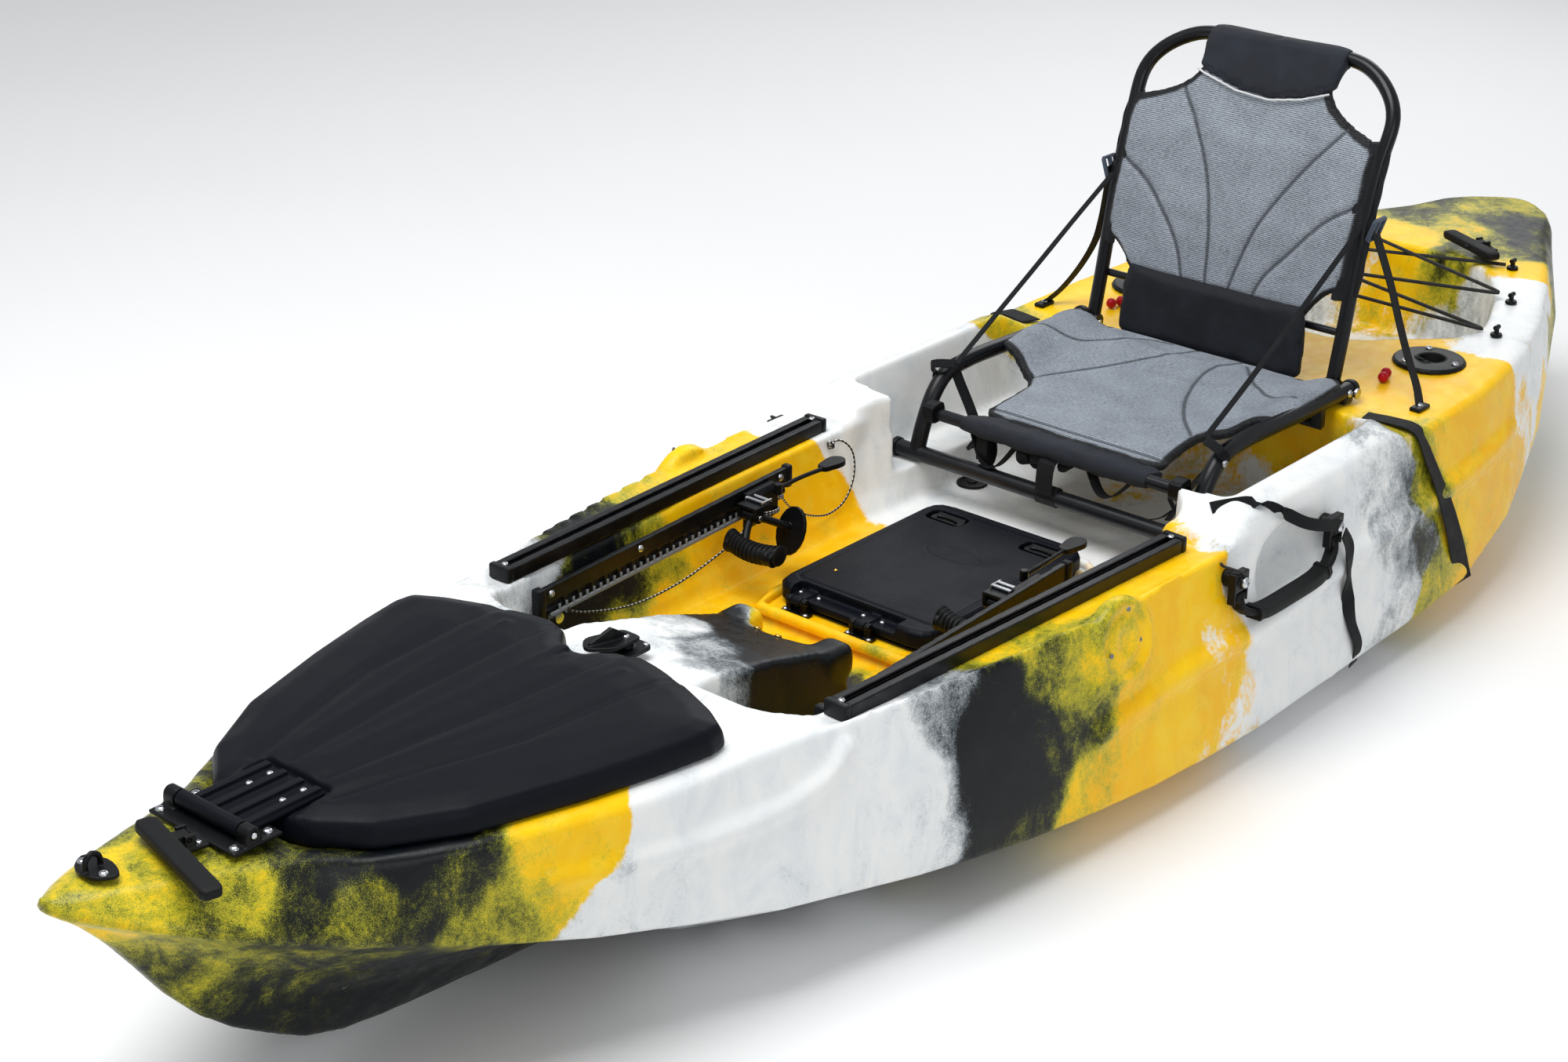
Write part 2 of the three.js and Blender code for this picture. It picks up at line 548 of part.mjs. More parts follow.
// ---- gear tracks --------------------------------------------------------------------------------
// A T-slotted rail along the side deck.
function gearTrack(side) {
  const w = TRACK.width / 2;
  const h = TRACK.height;
  const lip = 4;
  const profile = [[-w, 0], [w, 0], [w, h], [5, h], [5, h - lip], [10, h - lip], [10, h - 10], [-10, h - 10],
    [-10, h - lip], [-5, h - lip], [-5, h], [-w, h]];
  const rear = V(TRACK.rear + 8, TRACK.yRear - 0.4, TRACK_FOOT);
  const front = V(TRACK.front - 8, TRACK.yFront + 0.4, TRACK_FOOT);
  const along = front.clone().sub(rear);
  const shape = new THREE.Shape(profile.map(([y, z]) => new THREE.Vector2(y, z)));
  const bar = new THREE.ExtrudeGeometry(shape, { depth: along.length(), bevelEnabled: false });
  const turn = new THREE.Matrix4().makeBasis(
    V(-along.y, along.x, 0).normalize(), V(0, 0, 1), along.clone().normalize());
  return forSide(side, bar.applyMatrix4(turn).translate(rear.x, rear.y, rear.z));
}

// ---- drive well ---------------------------------------------------------------------------------
const KERB_TOP = FLOOR_Z + 17;

function podBucket() {
  const z0 = KERB_TOP + GAP;
  const flange = plate(podOutline(-3), z0, z0 + 4);
  const tub = tower([[6, podOutline(-34, 20)], [z0 + 2, podOutline(-24, 24)]]);
  const inside = tower([[10, podOutline(-38, 18)], [z0 + 8, podOutline(-28, 22)]]);
  return cut(join(flange, tub), inside);
}

const LID_BOTTOM = KERB_TOP + 7 + 3 * GAP;

const POD_HINGES = [-84, 28];

// The lid is rebated at the front for two hinges, and hollowed for two finger latches at the rear.
function podLid() {
  const slab = tower([
    [LID_BOTTOM, podOutline(0)], [POD.top - 5, podOutline(0)], [POD.top, podOutline(-5, 30)],
  ]);
  const front = box(POD.front - 26, POD.front + 2, -104, 80, POD.top - 14, POD.top + 5);
  const slots = FINGER_LATCHES.map((y) => plate(fingerOutline(y, 0), POD.top - 11, POD.top + 5));
  const knuckles = POD_HINGES.map((y) => join(
    rod(V(POD_HINGE.x, y - 8, POD_HINGE.z), V(POD_HINGE.x, y + 8, POD_HINGE.z), 7, 12),
    box(POD.front - 30, POD_HINGE.x, y - 8, y + 8, POD_HINGE.z - 4, POD_HINGE.z + 4),
  ));
  const holes = POD_HINGES.map((y) => rod(
    V(POD_HINGE.x, y - 30, POD_HINGE.z), V(POD_HINGE.x, y + 30, POD_HINGE.z), 2.8, 12));
  return cut(join(cut(slab, front, ...slots), ...knuckles), ...holes);
}

// A bearing plate on the kerb, with an ear either side of the lid's knuckle and a pin between them.
function podHingeBracket(y) {
  const ears = [-13, 13].map((d) => join(
    rod(V(POD_HINGE.x, y + d - 4, POD_HINGE.z), V(POD_HINGE.x, y + d + 4, POD_HINGE.z), 6.5, 12),
    box(POD_HINGE.x - 5, POD_HINGE.x + 5, y + d - 4, y + d + 4, KERB_TOP + 2, POD_HINGE.z),
  ));
  const foot = box(POD.front + 1, POD_HINGE.x + 10, y - 22, y + 22, KERB_TOP + GAP, KERB_TOP + 5);
  const pin = rod(V(POD_HINGE.x, y - 18, POD_HINGE.z), V(POD_HINGE.x, y + 18, POD_HINGE.z), 2.5, 12);
  return join(foot, ...ears, pin);
}

const FINGER_LATCHES = [-84, 84];
const fingerOutline = (y, by) => rounded([
  [-30 - by, y - 32 - by, 12], [6 + by, y - 32 - by, 12],
  [6 + by, y + 32 + by, 12], [-30 - by, y + 32 + by, 12],
], 2);

// A flap that lies in its hollow and tips up on its rear edge.
const FLAP = { x: -24, z: POD.top - 5 };
function fingerLatch(y) {
  const flap = plate(fingerOutline(y, -4).map(([x, yy]) => [Math.min(x, -4), yy]), POD.top - 8, POD.top - 3);
  return join(flap, rod(V(FLAP.x, y - 24, FLAP.z), V(FLAP.x, y + 24, FLAP.z), 4, 10));
}

// ---- foot braces --------------------------------------------------------------------------------
const railZ = (x) => lerp(RAIL.zRear, RAIL.zFront, (x - RAIL.rear) / (RAIL.front - RAIL.rear));
const RAIL_SLOPE = Math.atan2(RAIL.zFront - RAIL.zRear, RAIL.front - RAIL.rear);

// A rail screwed to the side wall, with a row of teeth along its lower lip.
function footRail() {
  const profile = [[6, -26], [0, -26], [0, -20], [3, -20], [3, -8], [-3, -8], [-3, 14], [6, 14]];
  const at = (x) => profile.map(([dy, dz]) => V(x, RAIL.y + dy, railZ(x) + dz));
  const bar = loft([at(RAIL.rear), at(RAIL.front)]);
  const teeth = [];
  for (let x = RAIL.rear + 80; x < RAIL.front - 20; x += 26) {
    teeth.push(box(x, x + 8, RAIL.y - 1, RAIL.y + 4, railZ(x) - 18, railZ(x) - 10));
  }
  return join(bar, ...teeth);
}

// The slider that runs along the rail, with a fork for the pedal's pin.
function footCarriage() {
  const at = (x) => [[-3.6, -6], [-3.6, 10], [-14, 10], [-20, 2], [-20, -30], [-12, -44], [-3.6, -44]]
    .map(([dy, dz]) => V(x, RAIL.y + dy, railZ(x) + dz));
  const block = loft([at(204), at(262)]);
  const ears = [-15, 15].map((d) => join(
    rod(V(PEDAL.x, PEDAL.y + d - 3, PEDAL.z), V(PEDAL.x, PEDAL.y + d + 3, PEDAL.z), 9, 12),
    box(PEDAL.x - 9, PEDAL.x + 9, PEDAL.y + d - 3, PEDAL.y + d + 3, PEDAL.z, PEDAL.z + 16),
  ));
  const roof = box(PEDAL.x - 22, PEDAL.x + 9, PEDAL.y - 18, PEDAL.y + 18, PEDAL.z + 11, PEDAL.z + 16);
  const hole = rod(V(PEDAL.x, PEDAL.y - 30, PEDAL.z), V(PEDAL.x, PEDAL.y + 30, PEDAL.z), 4.4, 12);
  return cut(join(block, roof, ...ears), hole);
}

// An oval foot plate and a ribbed toe bar, swinging together on a steel pin.
function footPedal() {
  const { x, y, z } = PEDAL;
  const hub = rod(V(x, y - 11, z), V(x, y + 11, z), 9, 12);
  const oval = circle(1, 18).map(([a, b]) => [a * 36, b * 25]);
  const face = plate(oval, -3, 3).rotateY(radians(68)).translate(x - 58, y - 26, z - 36);
  const from = V(x, y - 2, z - 2);
  const arm = sweep([from, V(x - 24, y - 8, z - 12), V(x - 56, y - 22, z - 30)], circle(6, 8), 5);
  const fork = sweep([from, V(x + 14, y - 6, z - 16), V(x + 30, y - 16, z - 34)], circle(6, 8), 5);
  const toeBar = new THREE.LatheGeometry(ribbedProfile(), 12).translate(x + 31, y - 73, z - 37);
  const hole = rod(V(x, y - 30, z), V(x, y + 30, z), 4.4, 12);
  return cut(join(hub, face, arm, fork, toeBar), hole);
}

// Half the toe bar's outline: a rib and a groove in turn along its length.
function ribbedProfile() {
  const points = [new THREE.Vector2(0, 0)];
  for (let i = 0; i < TOE_BAR.ribs; i += 1) {
    const y = i * TOE_BAR.pitch;
    points.push(new THREE.Vector2(TOE_BAR.r, y), new THREE.Vector2(TOE_BAR.r, y + TOE_BAR.pitch * 0.6));
    if (i < TOE_BAR.ribs - 1) {
      points.push(new THREE.Vector2(TOE_BAR.core, y + TOE_BAR.pitch * 0.75));
      points.push(new THREE.Vector2(TOE_BAR.core, y + TOE_BAR.pitch * 0.85));
    }
  }
  points.push(new THREE.Vector2(0, (TOE_BAR.ribs - 0.4) * TOE_BAR.pitch));
  return points;
}

const pedalPin = () => rod(V(PEDAL.x, PEDAL.y - 20, PEDAL.z), V(PEDAL.x, PEDAL.y + 20, PEDAL.z), 4, 12);

// The release lever: a thin rod from the carriage to a teardrop paddle.
const LEVER = { x: 214, y: 215, z: 309 };
function footLever() {
  const { x, y, z } = LEVER;
  const stem = sweep([V(x, y, z), V(165, y, z + 2), V(112, y - 4, z + 2)], circle(3.5, 8), 6);
  const outline = [[124, 204, 6], [124, 220, 6], [84, 228, 14], [72, 212, 14], [84, 196, 14]];
  const paddle = plate(rounded(outline, 3), z - 1, z + 7);
  return join(stem, paddle, rod(V(x, y, z - 8), V(x, y, z + 8), 6, 12));
}

// The cord that joins each slider to the hull behind it and to its rail in front, for the port side.
const ROPE_REAR = [
  [20, 282, 300], [8, 274, 304], [-8, 266, 290], [-14, 262, 268], [-4, 256, 240], [20, 252, 216],
  [58, 249, 209], [108, 244, 224], [160, 238, 256], [186, 233, 281], [202.4, 231, 290],
];
const ROPE_FRONT = [
  [264, 231.5, 262], [276, 233, 251], [300, 236, 240], [342, 237, 229], [396, 237, 220], [458, 237, 217.5],
  [504, 238, 221], [567, 240, 236], [598, 243, 247], [612, 245, 257.5],
];
const footRope = (route, steps) => sweep(route.map(([x, y, z]) => V(x, y, z)), circle(ROPE_R, 8), steps);

// ---- seat ---------------------------------------------------------------------------------------
const round = (r, sides = 12) => circle(r, sides);

// The lower front bar and two side tubes that rise from it, bend and run back to the backrest's pivots.
function seatBase() {
  const { x: barX, z: barZ, half, r } = SEAT_BAR;
  const bar = rod(V(barX, -half, barZ), V(barX, half, barZ), r, 14);
  const sides = [1, -1].map((side) => sweep([
    V(SEAT_BAR.x, 246 * side, SEAT_BAR.z), V(-158, 246 * side, 285), V(-182, 246 * side, 330),
    V(-212, 246 * side, 355), V(-262, 246 * side, 362), V(-420, 246 * side, 358),
    V(BACK_PIVOT.x - 14, 246 * side, BACK_PIVOT.z + 2)], round(SEAT_TUBE_R, 10), 16));
  const feet = [1, -1].map((side) => box(-558, -534, 246 * side - 12, 246 * side + 12, 340, 352));
  const crossbar = rod(V(-480, -252, 323), V(-480, 252, 323), 7, 10);
  const drops = [1, -1].map((side) => box(-488, -472, 246 * side - 8, 246 * side + 8, 318, 352));
  const holes = rod(V(BACK_PIVOT.x, -300, BACK_PIVOT.z), V(BACK_PIVOT.x, 300, BACK_PIVOT.z), 4.4, 12);
  return cut(join(bar, ...sides, crossbar, ...drops, ...feet), holes);
}

const PAN = { front: -183, rear: -546, half: 202, frontZ: 306, rearZ: 343, thick: 13 };
const PAN_BAR = { x: -152, z: 314, r: 9.5 };
const panFrontBar = () => rod(V(PAN_BAR.x, -208, PAN_BAR.z), V(PAN_BAR.x, 208, PAN_BAR.z), PAN_BAR.r, 14);

// A moulded clamp from the leg to the pan's front bar.
function panClamp(side) {
  const outline = rounded([[-168, 304, 6], [-134, 302, 8], [-132, 330, 8], [-162, 334, 8]], 2);
  const cheek = new THREE.ExtrudeGeometry(new THREE.Shape(outline.map(([x, z]) => new THREE.Vector2(x, z))),
    { depth: 20, bevelEnabled: false }).rotateX(Math.PI / 2).translate(0, 230, 0);
  const hole = rod(V(PAN_BAR.x, 180, PAN_BAR.z), V(PAN_BAR.x, 240, PAN_BAR.z), PAN_BAR.r + GAP, 14);
  const legLine = [V(SEAT_BAR.x, 246, SEAT_BAR.z), V(-158, 246, 285), V(-182, 246, 330), V(-212, 246, 355)];
  const leg = sweep(legLine, round(SEAT_TUBE_R + 2, 10), 8);
  return forSide(side, cut(cheek, hole, leg));
}

function panCushion() {
  const half = mirrored(rounded([[PAN.front, 0], [PAN.front, 128, 10], [-214, 146, 16], [-236, PAN.half, 10],
    [PAN.rear + 30, PAN.half, 10], [PAN.rear, 178, 14], [PAN.rear, 0]], 2));
  const slope = (x) => lerp(PAN.frontZ, PAN.rearZ, THREE.MathUtils.clamp((PAN.front - x) / 300, 0, 1));
  const ring = (outline, dz) => outline.map(([x, y]) => V(x, y, slope(x) + dz));
  return loft([ring(half, 0), ring(half, PAN.thick - 5), ring(towards(half, -370, 10), PAN.thick)]);
}

// The backrest's hoop, leaning back, and the same line for its panel.
const BACK_LINE = [[BACK_PIVOT.x, BACK_PIVOT.z], [-580, 440], [-604, 560], [-638, 676], [-668, 746]];
function backrestFrame() {
  const up = (side) => [
    ...BACK_LINE.map(([x, z]) => V(x, BACK_TUBE_Y * side, z)),
    V(-684, 198 * side, 778), V(-702, 150 * side, 805),
  ];
  const points = [...up(1), V(-708, 80, 812), V(-708, -80, 812), ...up(-1).reverse()];
  const hoop = sweep(points, round(BACK_TUBE_R, 10), 40);
  const onPivot = (y) => V(BACK_PIVOT.x, y, BACK_PIVOT.z);
  const lugs = [1, -1].map((side) => rod(
    onPivot((BACK_TUBE_Y - 12) * side), onPivot((BACK_TUBE_Y + 12) * side), 13, 14));
  const cross = rod(V(-586, -BACK_TUBE_Y, 430), V(-586, BACK_TUBE_Y, 430), 6, 10);
  const holes = rod(V(BACK_PIVOT.x, -300, BACK_PIVOT.z), V(BACK_PIVOT.x, 300, BACK_PIVOT.z), 4.4, 12);
  return cut(join(hoop, cross, ...lugs), holes);
}

const pivotBolt = (side) => forSide(side, join(
  rod(V(BACK_PIVOT.x, 204, BACK_PIVOT.z), V(BACK_PIVOT.x, 262, BACK_PIVOT.z), 4, 12),
  rod(V(BACK_PIVOT.x, 260, BACK_PIVOT.z), V(BACK_PIVOT.x, 265, BACK_PIVOT.z), 8, 12)));

// The fabric panel stretched in the hoop, just in front of the tube's middle.
function backrestPanel() {
  const rows = [
    [-556, 362, 160], [-564, 445, 160], [-568, 470, 196], [-586, 560, 200],
    [-622, 680, 200], [-646, 728, 178], [-660, 760, 120], [-684, 796, 112],
  ];
  return loft(rows.map(([x, z, half]) => [
    V(x + 3, -half, z), V(x + 3, half, z), V(x - 9, half, z + 2), V(x - 9, -half, z + 2),
  ]));
}

// The webbing that holds the backrest's lean, from the hoop down to the pan's front corner.
function reclineStrap(side) {
  const [top, low] = [[-594, 219, 590], [-204, 222, 378]];
  return forSide(side, loft([low, top].map(([x, y, z]) => [
    V(x - 1, y - 5, z), V(x + 1, y - 5, z + 1.5), V(x + 1, y + 5, z + 1.5), V(x - 1, y + 5, z),
  ])));
}

// ---- side handles, rod holders, tank bungee -----------------------------------------------------
// A strap that hangs between two end fittings, with an eye round each fitting's pin.
function sideHandle(side) {
  const { front, rear, y, z, pinZ, drop } = SIDE_HANDLE;
  const end = (x, inward) => [
    V(x, y, pinZ - 2), V(x + 2 * inward, y + 2, pinZ - 14), V(x + 26 * inward, y + 7, z - drop + 6),
    V(x + 70 * inward, y + 9, z - drop),
  ];
  const section = rounded([[-5, -11, 4], [5, -11, 4], [5, 11, 4], [-5, 11, 4]], 1);
  const strap = sweep([...end(front, -1), ...end(rear, 1).reverse()], section, 20);
  const eyes = [front, rear].map((x) => rod(V(x - 11, y, pinZ), V(x + 11, y, pinZ), 7.5, 12));
  const holes = [front, rear].map((x) => rod(V(x - 20, y, pinZ), V(x + 20, y, pinZ), 3.4, 10));
  return forSide(side, cut(join(strap, ...eyes), ...holes));
}

// An end fitting of a side handle: a plate bolted to the flank, and two ears that hold the pin below it.
function handleBolt(side, x) {
  const { y, z, pinZ } = SIDE_HANDLE;
  const base = hullFace(x, z) - 3 + GAP;
  const ears = [-15, 15].map((d) => box(x + d - 2, x + d + 2, y - 6, y + 6, pinZ - 7, z - 10));
  return forSide(side, join(
    rod(V(x, base, z), V(x, y, z), 13, 14),
    box(x - 17, x + 17, y - 6, y + 6, z - 14, z + 14),
    rod(V(x, y + 5, z), V(x, y + 11, z), 9, 14),
    rod(V(x - 16, y, pinZ), V(x + 16, y, pinZ), 3, 10),
    ...ears,
  ));
}

// Half-breadth of the flank at a height.
function hullFace(x, z) {
  const half = hullHalf(x).slice(5, 9);
  for (let i = 0; i < half.length - 1; i += 1) {
    const [a, b] = [half[i], half[i + 1]];
    if (z >= a[1] && z <= b[1]) {
      return lerp(a[0], b[0], (z - a[1]) / (b[1] - a[1]));
    }
  }
  return half.at(-1)[0];
}

function rodHolder(side) {
  const { flangeR, boreR, depth } = ROD_HOLDER;
  const flange = new THREE.CylinderGeometry(flangeR - 4, flangeR, 6, 24).rotateX(Math.PI / 2)
    .translate(rodMouth.x, rodMouth.y, rodMouth.z + 8);
  const low = rodMouth.clone().addScaledVector(rodAxis, -depth);
  const high = rodMouth.clone().addScaledVector(rodAxis, 7);
  const tube = rod(low, high, boreR + 3, 16);
  const boreEnds = [low.clone().addScaledVector(rodAxis, 4), high.clone().addScaledVector(rodAxis, 20)];
  const bore = rod(...boreEnds, boreR, 16);
  return forSide(side, cut(join(flange, tube), bore));
}

// Hooks along each side of the tank well, and the elastic that zigzags over it.
const HOOKS = [[-928, 300], [-1074, 250], [-1222, 176]];
const hookZ = (x) => lineAt(CREST, x).z;
const deckHook = (side, [x, y]) => forSide(side, join(
  new THREE.CylinderGeometry(9, 10, 5, 14).rotateX(Math.PI / 2).translate(x, y, hookZ(x) + 4),
  rod(V(x, y, hookZ(x) + 4), V(x, y, hookZ(x) + 14), 4, 10),
  rod(V(x - 7, y, hookZ(x) + 16), V(x + 7, y, hookZ(x) + 16), 4, 10)));

function tankBungee() {
  const inset = 13;
  const z = (x) => hookZ(x) + 10;
  const at = ([x, y], side) => V(x, (y - inset) * side, z(x));
  const points = [
    at(HOOKS[2], 1), at(HOOKS[1], -1), at(HOOKS[0], 1), at(HOOKS[0], -1), at(HOOKS[1], 1), at(HOOKS[2], -1),
  ];
  points[3].z += 7;
  points[4].z += 7;
  points[5].z += 7;
  return sweep(points, circle(BUNGEE_R, 8), 35, false);
}

// ---- assembly -----------------------------------------------------------------------------------
const boat = new THREE.Group();

const BLACK = 0x17181a;
const COLOUR = {
  shell: 0xe2a91c, lid: 0x14161b, plastic: BLACK, rail: 0x0e0f10, steel: 0xb9bcc0, frame: 0x1a1b1d,
  mesh: 0x8c9199, rubber: 0x101010, webbing: 0x141415,
};

const ROUGHNESS = { lid: 0.6, plastic: 0.5, rail: 0.32, steel: 0.25, frame: 0.35, shell: 0.4 };
const METALNESS = { rail: 0.8, steel: 1 };

function add(name, geometry, kind) {
  const material = new THREE.MeshStandardMaterial({
    color: COLOUR[kind], roughness: ROUGHNESS[kind] ?? 0.85, metalness: METALNESS[kind] ?? 0,
  });
  const mesh = new THREE.Mesh(bare(geometry), material);
  mesh.name = name;
  boat.add(mesh);
}

const SIDES = { port: 1, starboard: -1 };

add('hull', hull(), 'shell');
add('bow_hatch_lid', hatchLid(), 'lid');
add('bow_hatch_hinge_base', hatchHingeBase(), 'plastic');
add('bow_hatch_hinge_pin', hatchHingePin(), 'steel');
add('bow_hatch_hinge_leaf', hatchHingeLeaf(), 'plastic');
add('bow_hatch_latch_base', latchBase(), 'plastic');
add('bow_hatch_latch', hatchLatch(), 'plastic');
add('bow_padeye', padeye(), 'plastic');
add('bow_handle_bracket', turned(handleBracket(), BOW_HANDLE), 'plastic');
add('bow_handle_grip', turned(handleGrip(BOW_HANDLE), BOW_HANDLE), 'rubber');
add('stern_handle_bracket', turned(handleBracket(), STERN_HANDLE), 'plastic');
add('stern_handle_grip', turned(handleGrip(STERN_HANDLE), STERN_HANDLE), 'rubber');
add('drive_well_bucket', podBucket(), 'plastic');
add('drive_well_lid', podLid(), 'lid');
POD_HINGES.forEach((y, i) => add(`drive_well_hinge_${i + 1}`, podHingeBracket(y), 'plastic'));
FINGER_LATCHES.forEach((y, i) => add(`drive_well_latch_${i + 1}`, fingerLatch(y), 'plastic'));
Object.entries(SIDES).forEach(([name, side]) => {
  add(`gear_track_${name}`, gearTrack(side), 'rail');
  add(`foot_rail_${name}`, forSide(side, footRail()), 'plastic');
  add(`foot_carriage_${name}`, forSide(side, footCarriage()), 'plastic');
  add(`foot_pedal_${name}`, forSide(side, footPedal()), 'rubber');
  add(`foot_pedal_pin_${name}`, forSide(side, pedalPin()), 'steel');
  add(`foot_lever_${name}`, forSide(side, footLever()), 'plastic');
  add(`foot_rope_rear_${name}`, forSide(side, footRope(ROPE_REAR, 56)), 'webbing');
  add(`foot_rope_front_${name}`, forSide(side, footRope(ROPE_FRONT, 50)), 'webbing');
  add(`pan_clamp_${name}`, panClamp(side), 'plastic');
  add(`backrest_pivot_bolt_${name}`, pivotBolt(side), 'steel');
  add(`recline_strap_${name}`, reclineStrap(side), 'webbing');
  add(`rod_holder_${name}`, rodHolder(side), 'plastic');
  add(`side_handle_${name}`, sideHandle(side), 'rubber');
  add(`side_handle_front_bolt_${name}`, handleBolt(side, SIDE_HANDLE.front), 'plastic');
  add(`side_handle_rear_bolt_${name}`, handleBolt(side, SIDE_HANDLE.rear), 'plastic');
  HOOKS.forEach((place, i) => add(`deck_hook_${i + 1}_${name}`, deckHook(side, place), 'plastic'));
});
add('seat_base_frame', seatBase(), 'frame');
add('pan_front_bar', panFrontBar(), 'frame');
add('seat_pan_cushion', panCushion(), 'mesh');
add('backrest_frame', backrestFrame(), 'frame');
add('backrest_panel', backrestPanel(), 'mesh');
add('tank_bungee', tankBungee(), 'webbing');

export default boat;
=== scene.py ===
"""The looks of a pedal fishing boat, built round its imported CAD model.
Metres, +X towards the bow, +Y to port, +Z up, origin on the ground under the middle of the hull."""

import json
import math

import bmesh
import bpy
import numpy as np
from mathutils import Matrix, Vector
from mathutils.bvhtree import BVHTree

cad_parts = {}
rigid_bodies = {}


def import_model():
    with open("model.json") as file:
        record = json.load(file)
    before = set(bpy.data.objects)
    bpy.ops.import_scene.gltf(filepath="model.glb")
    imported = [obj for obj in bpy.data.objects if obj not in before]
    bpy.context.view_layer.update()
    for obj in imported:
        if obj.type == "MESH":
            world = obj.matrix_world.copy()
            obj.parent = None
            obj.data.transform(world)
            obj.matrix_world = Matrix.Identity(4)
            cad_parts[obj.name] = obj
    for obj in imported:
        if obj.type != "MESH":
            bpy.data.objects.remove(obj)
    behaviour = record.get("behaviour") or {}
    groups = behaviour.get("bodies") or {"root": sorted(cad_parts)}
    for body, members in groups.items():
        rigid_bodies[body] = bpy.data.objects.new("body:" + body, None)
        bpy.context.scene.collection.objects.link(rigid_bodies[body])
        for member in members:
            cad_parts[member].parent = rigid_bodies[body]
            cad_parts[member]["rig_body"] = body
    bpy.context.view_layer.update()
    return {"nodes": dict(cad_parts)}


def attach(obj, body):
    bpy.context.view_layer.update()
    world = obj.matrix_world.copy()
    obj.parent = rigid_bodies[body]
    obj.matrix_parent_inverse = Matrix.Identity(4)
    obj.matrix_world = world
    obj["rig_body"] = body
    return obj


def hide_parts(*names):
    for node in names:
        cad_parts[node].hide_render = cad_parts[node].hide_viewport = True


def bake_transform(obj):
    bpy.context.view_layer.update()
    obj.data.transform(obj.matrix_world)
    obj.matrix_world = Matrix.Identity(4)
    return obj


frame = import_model()
NODES = frame["nodes"]
SIDES = {"port": 1, "starboard": -1}
UP = (0, 0, 1)


# ---- camera, floor and light ---------------------------------------------------------------------
def make_camera():
    data = bpy.data.cameras.new("camera")
    data.lens, data.sensor_width, data.clip_end = 63.0, 36.0, 60.0
    yaw, pitch, roll = (math.radians(a) for a in (220.581, -24.293, 0.535))
    forward = Vector((math.cos(pitch) * math.cos(yaw), math.cos(pitch) * math.sin(yaw), math.sin(pitch)))
    level = forward.cross(Vector(UP)).normalized()
    upright = level.cross(forward)
    right = math.cos(roll) * level + math.sin(roll) * upright
    up = math.cos(roll) * upright - math.sin(roll) * level
    camera = bpy.data.objects.new("camera", data)
    bpy.context.scene.collection.objects.link(camera)
    camera.matrix_world = Matrix.Translation((2.9131, 2.1086, 1.8512)) @ Matrix(
        (right, up, -forward)).transposed().to_4x4()
    bpy.context.scene.camera = camera


def make_light(name, place, target, size, power, colour=(1, 1, 1)):
    data = bpy.data.lights.new(name, "AREA")
    data.shape, data.size, data.energy, data.color = "DISK", size, power, colour
    lamp = bpy.data.objects.new(name, data)
    lamp.location = place
    lamp.rotation_euler = (Vector(target) - Vector(place)).to_track_quat("-Z", "Y").to_euler()
    bpy.context.scene.collection.objects.link(lamp)


# ---- mesh building -------------------------------------------------------------------------------
def smooth_path(points, step=0.006):
    """A smooth line through the points, with one point about every step."""
    p = [np.array(q, float) for q in points]
    q = [2 * p[0] - p[1], *p, 2 * p[-1] - p[-2]]
    out = []
    for a, b, c, d in zip(q, q[1:], q[2:], q[3:]):
        t = [0.0]
        for u, v in ((a, b), (b, c), (c, d)):
            t.append(t[-1] + max(np.linalg.norm(v - u), 1e-6) ** 0.5)
        for s in np.linspace(t[1], t[2], max(2, int(np.linalg.norm(c - b) / step)), endpoint=False):
            def mix(u, v, i, j):
                return (t[j] - s) / (t[j] - t[i]) * u + (s - t[i]) / (t[j] - t[i]) * v
            ab, bc, cd = mix(a, b, 0, 1), mix(b, c, 1, 2), mix(c, d, 2, 3)
            out.append(mix(mix(ab, bc, 0, 2), mix(bc, cd, 1, 3), 1, 2))
    return np.array([*out, p[-1]])


def axes_along(path, side):
    """Two unit vectors across the path at each of its points, the first one kept near side."""
    along = np.gradient(path, axis=0)
    along /= np.linalg.norm(along, axis=1)[:, None]
    first = np.array(side, float)
    firsts = []
    for t in along:
        first = first - t * (first @ t)
        first /= np.linalg.norm(first)
        firsts.append(first)
    firsts = np.array(firsts)
    return firsts, np.cross(along, firsts)


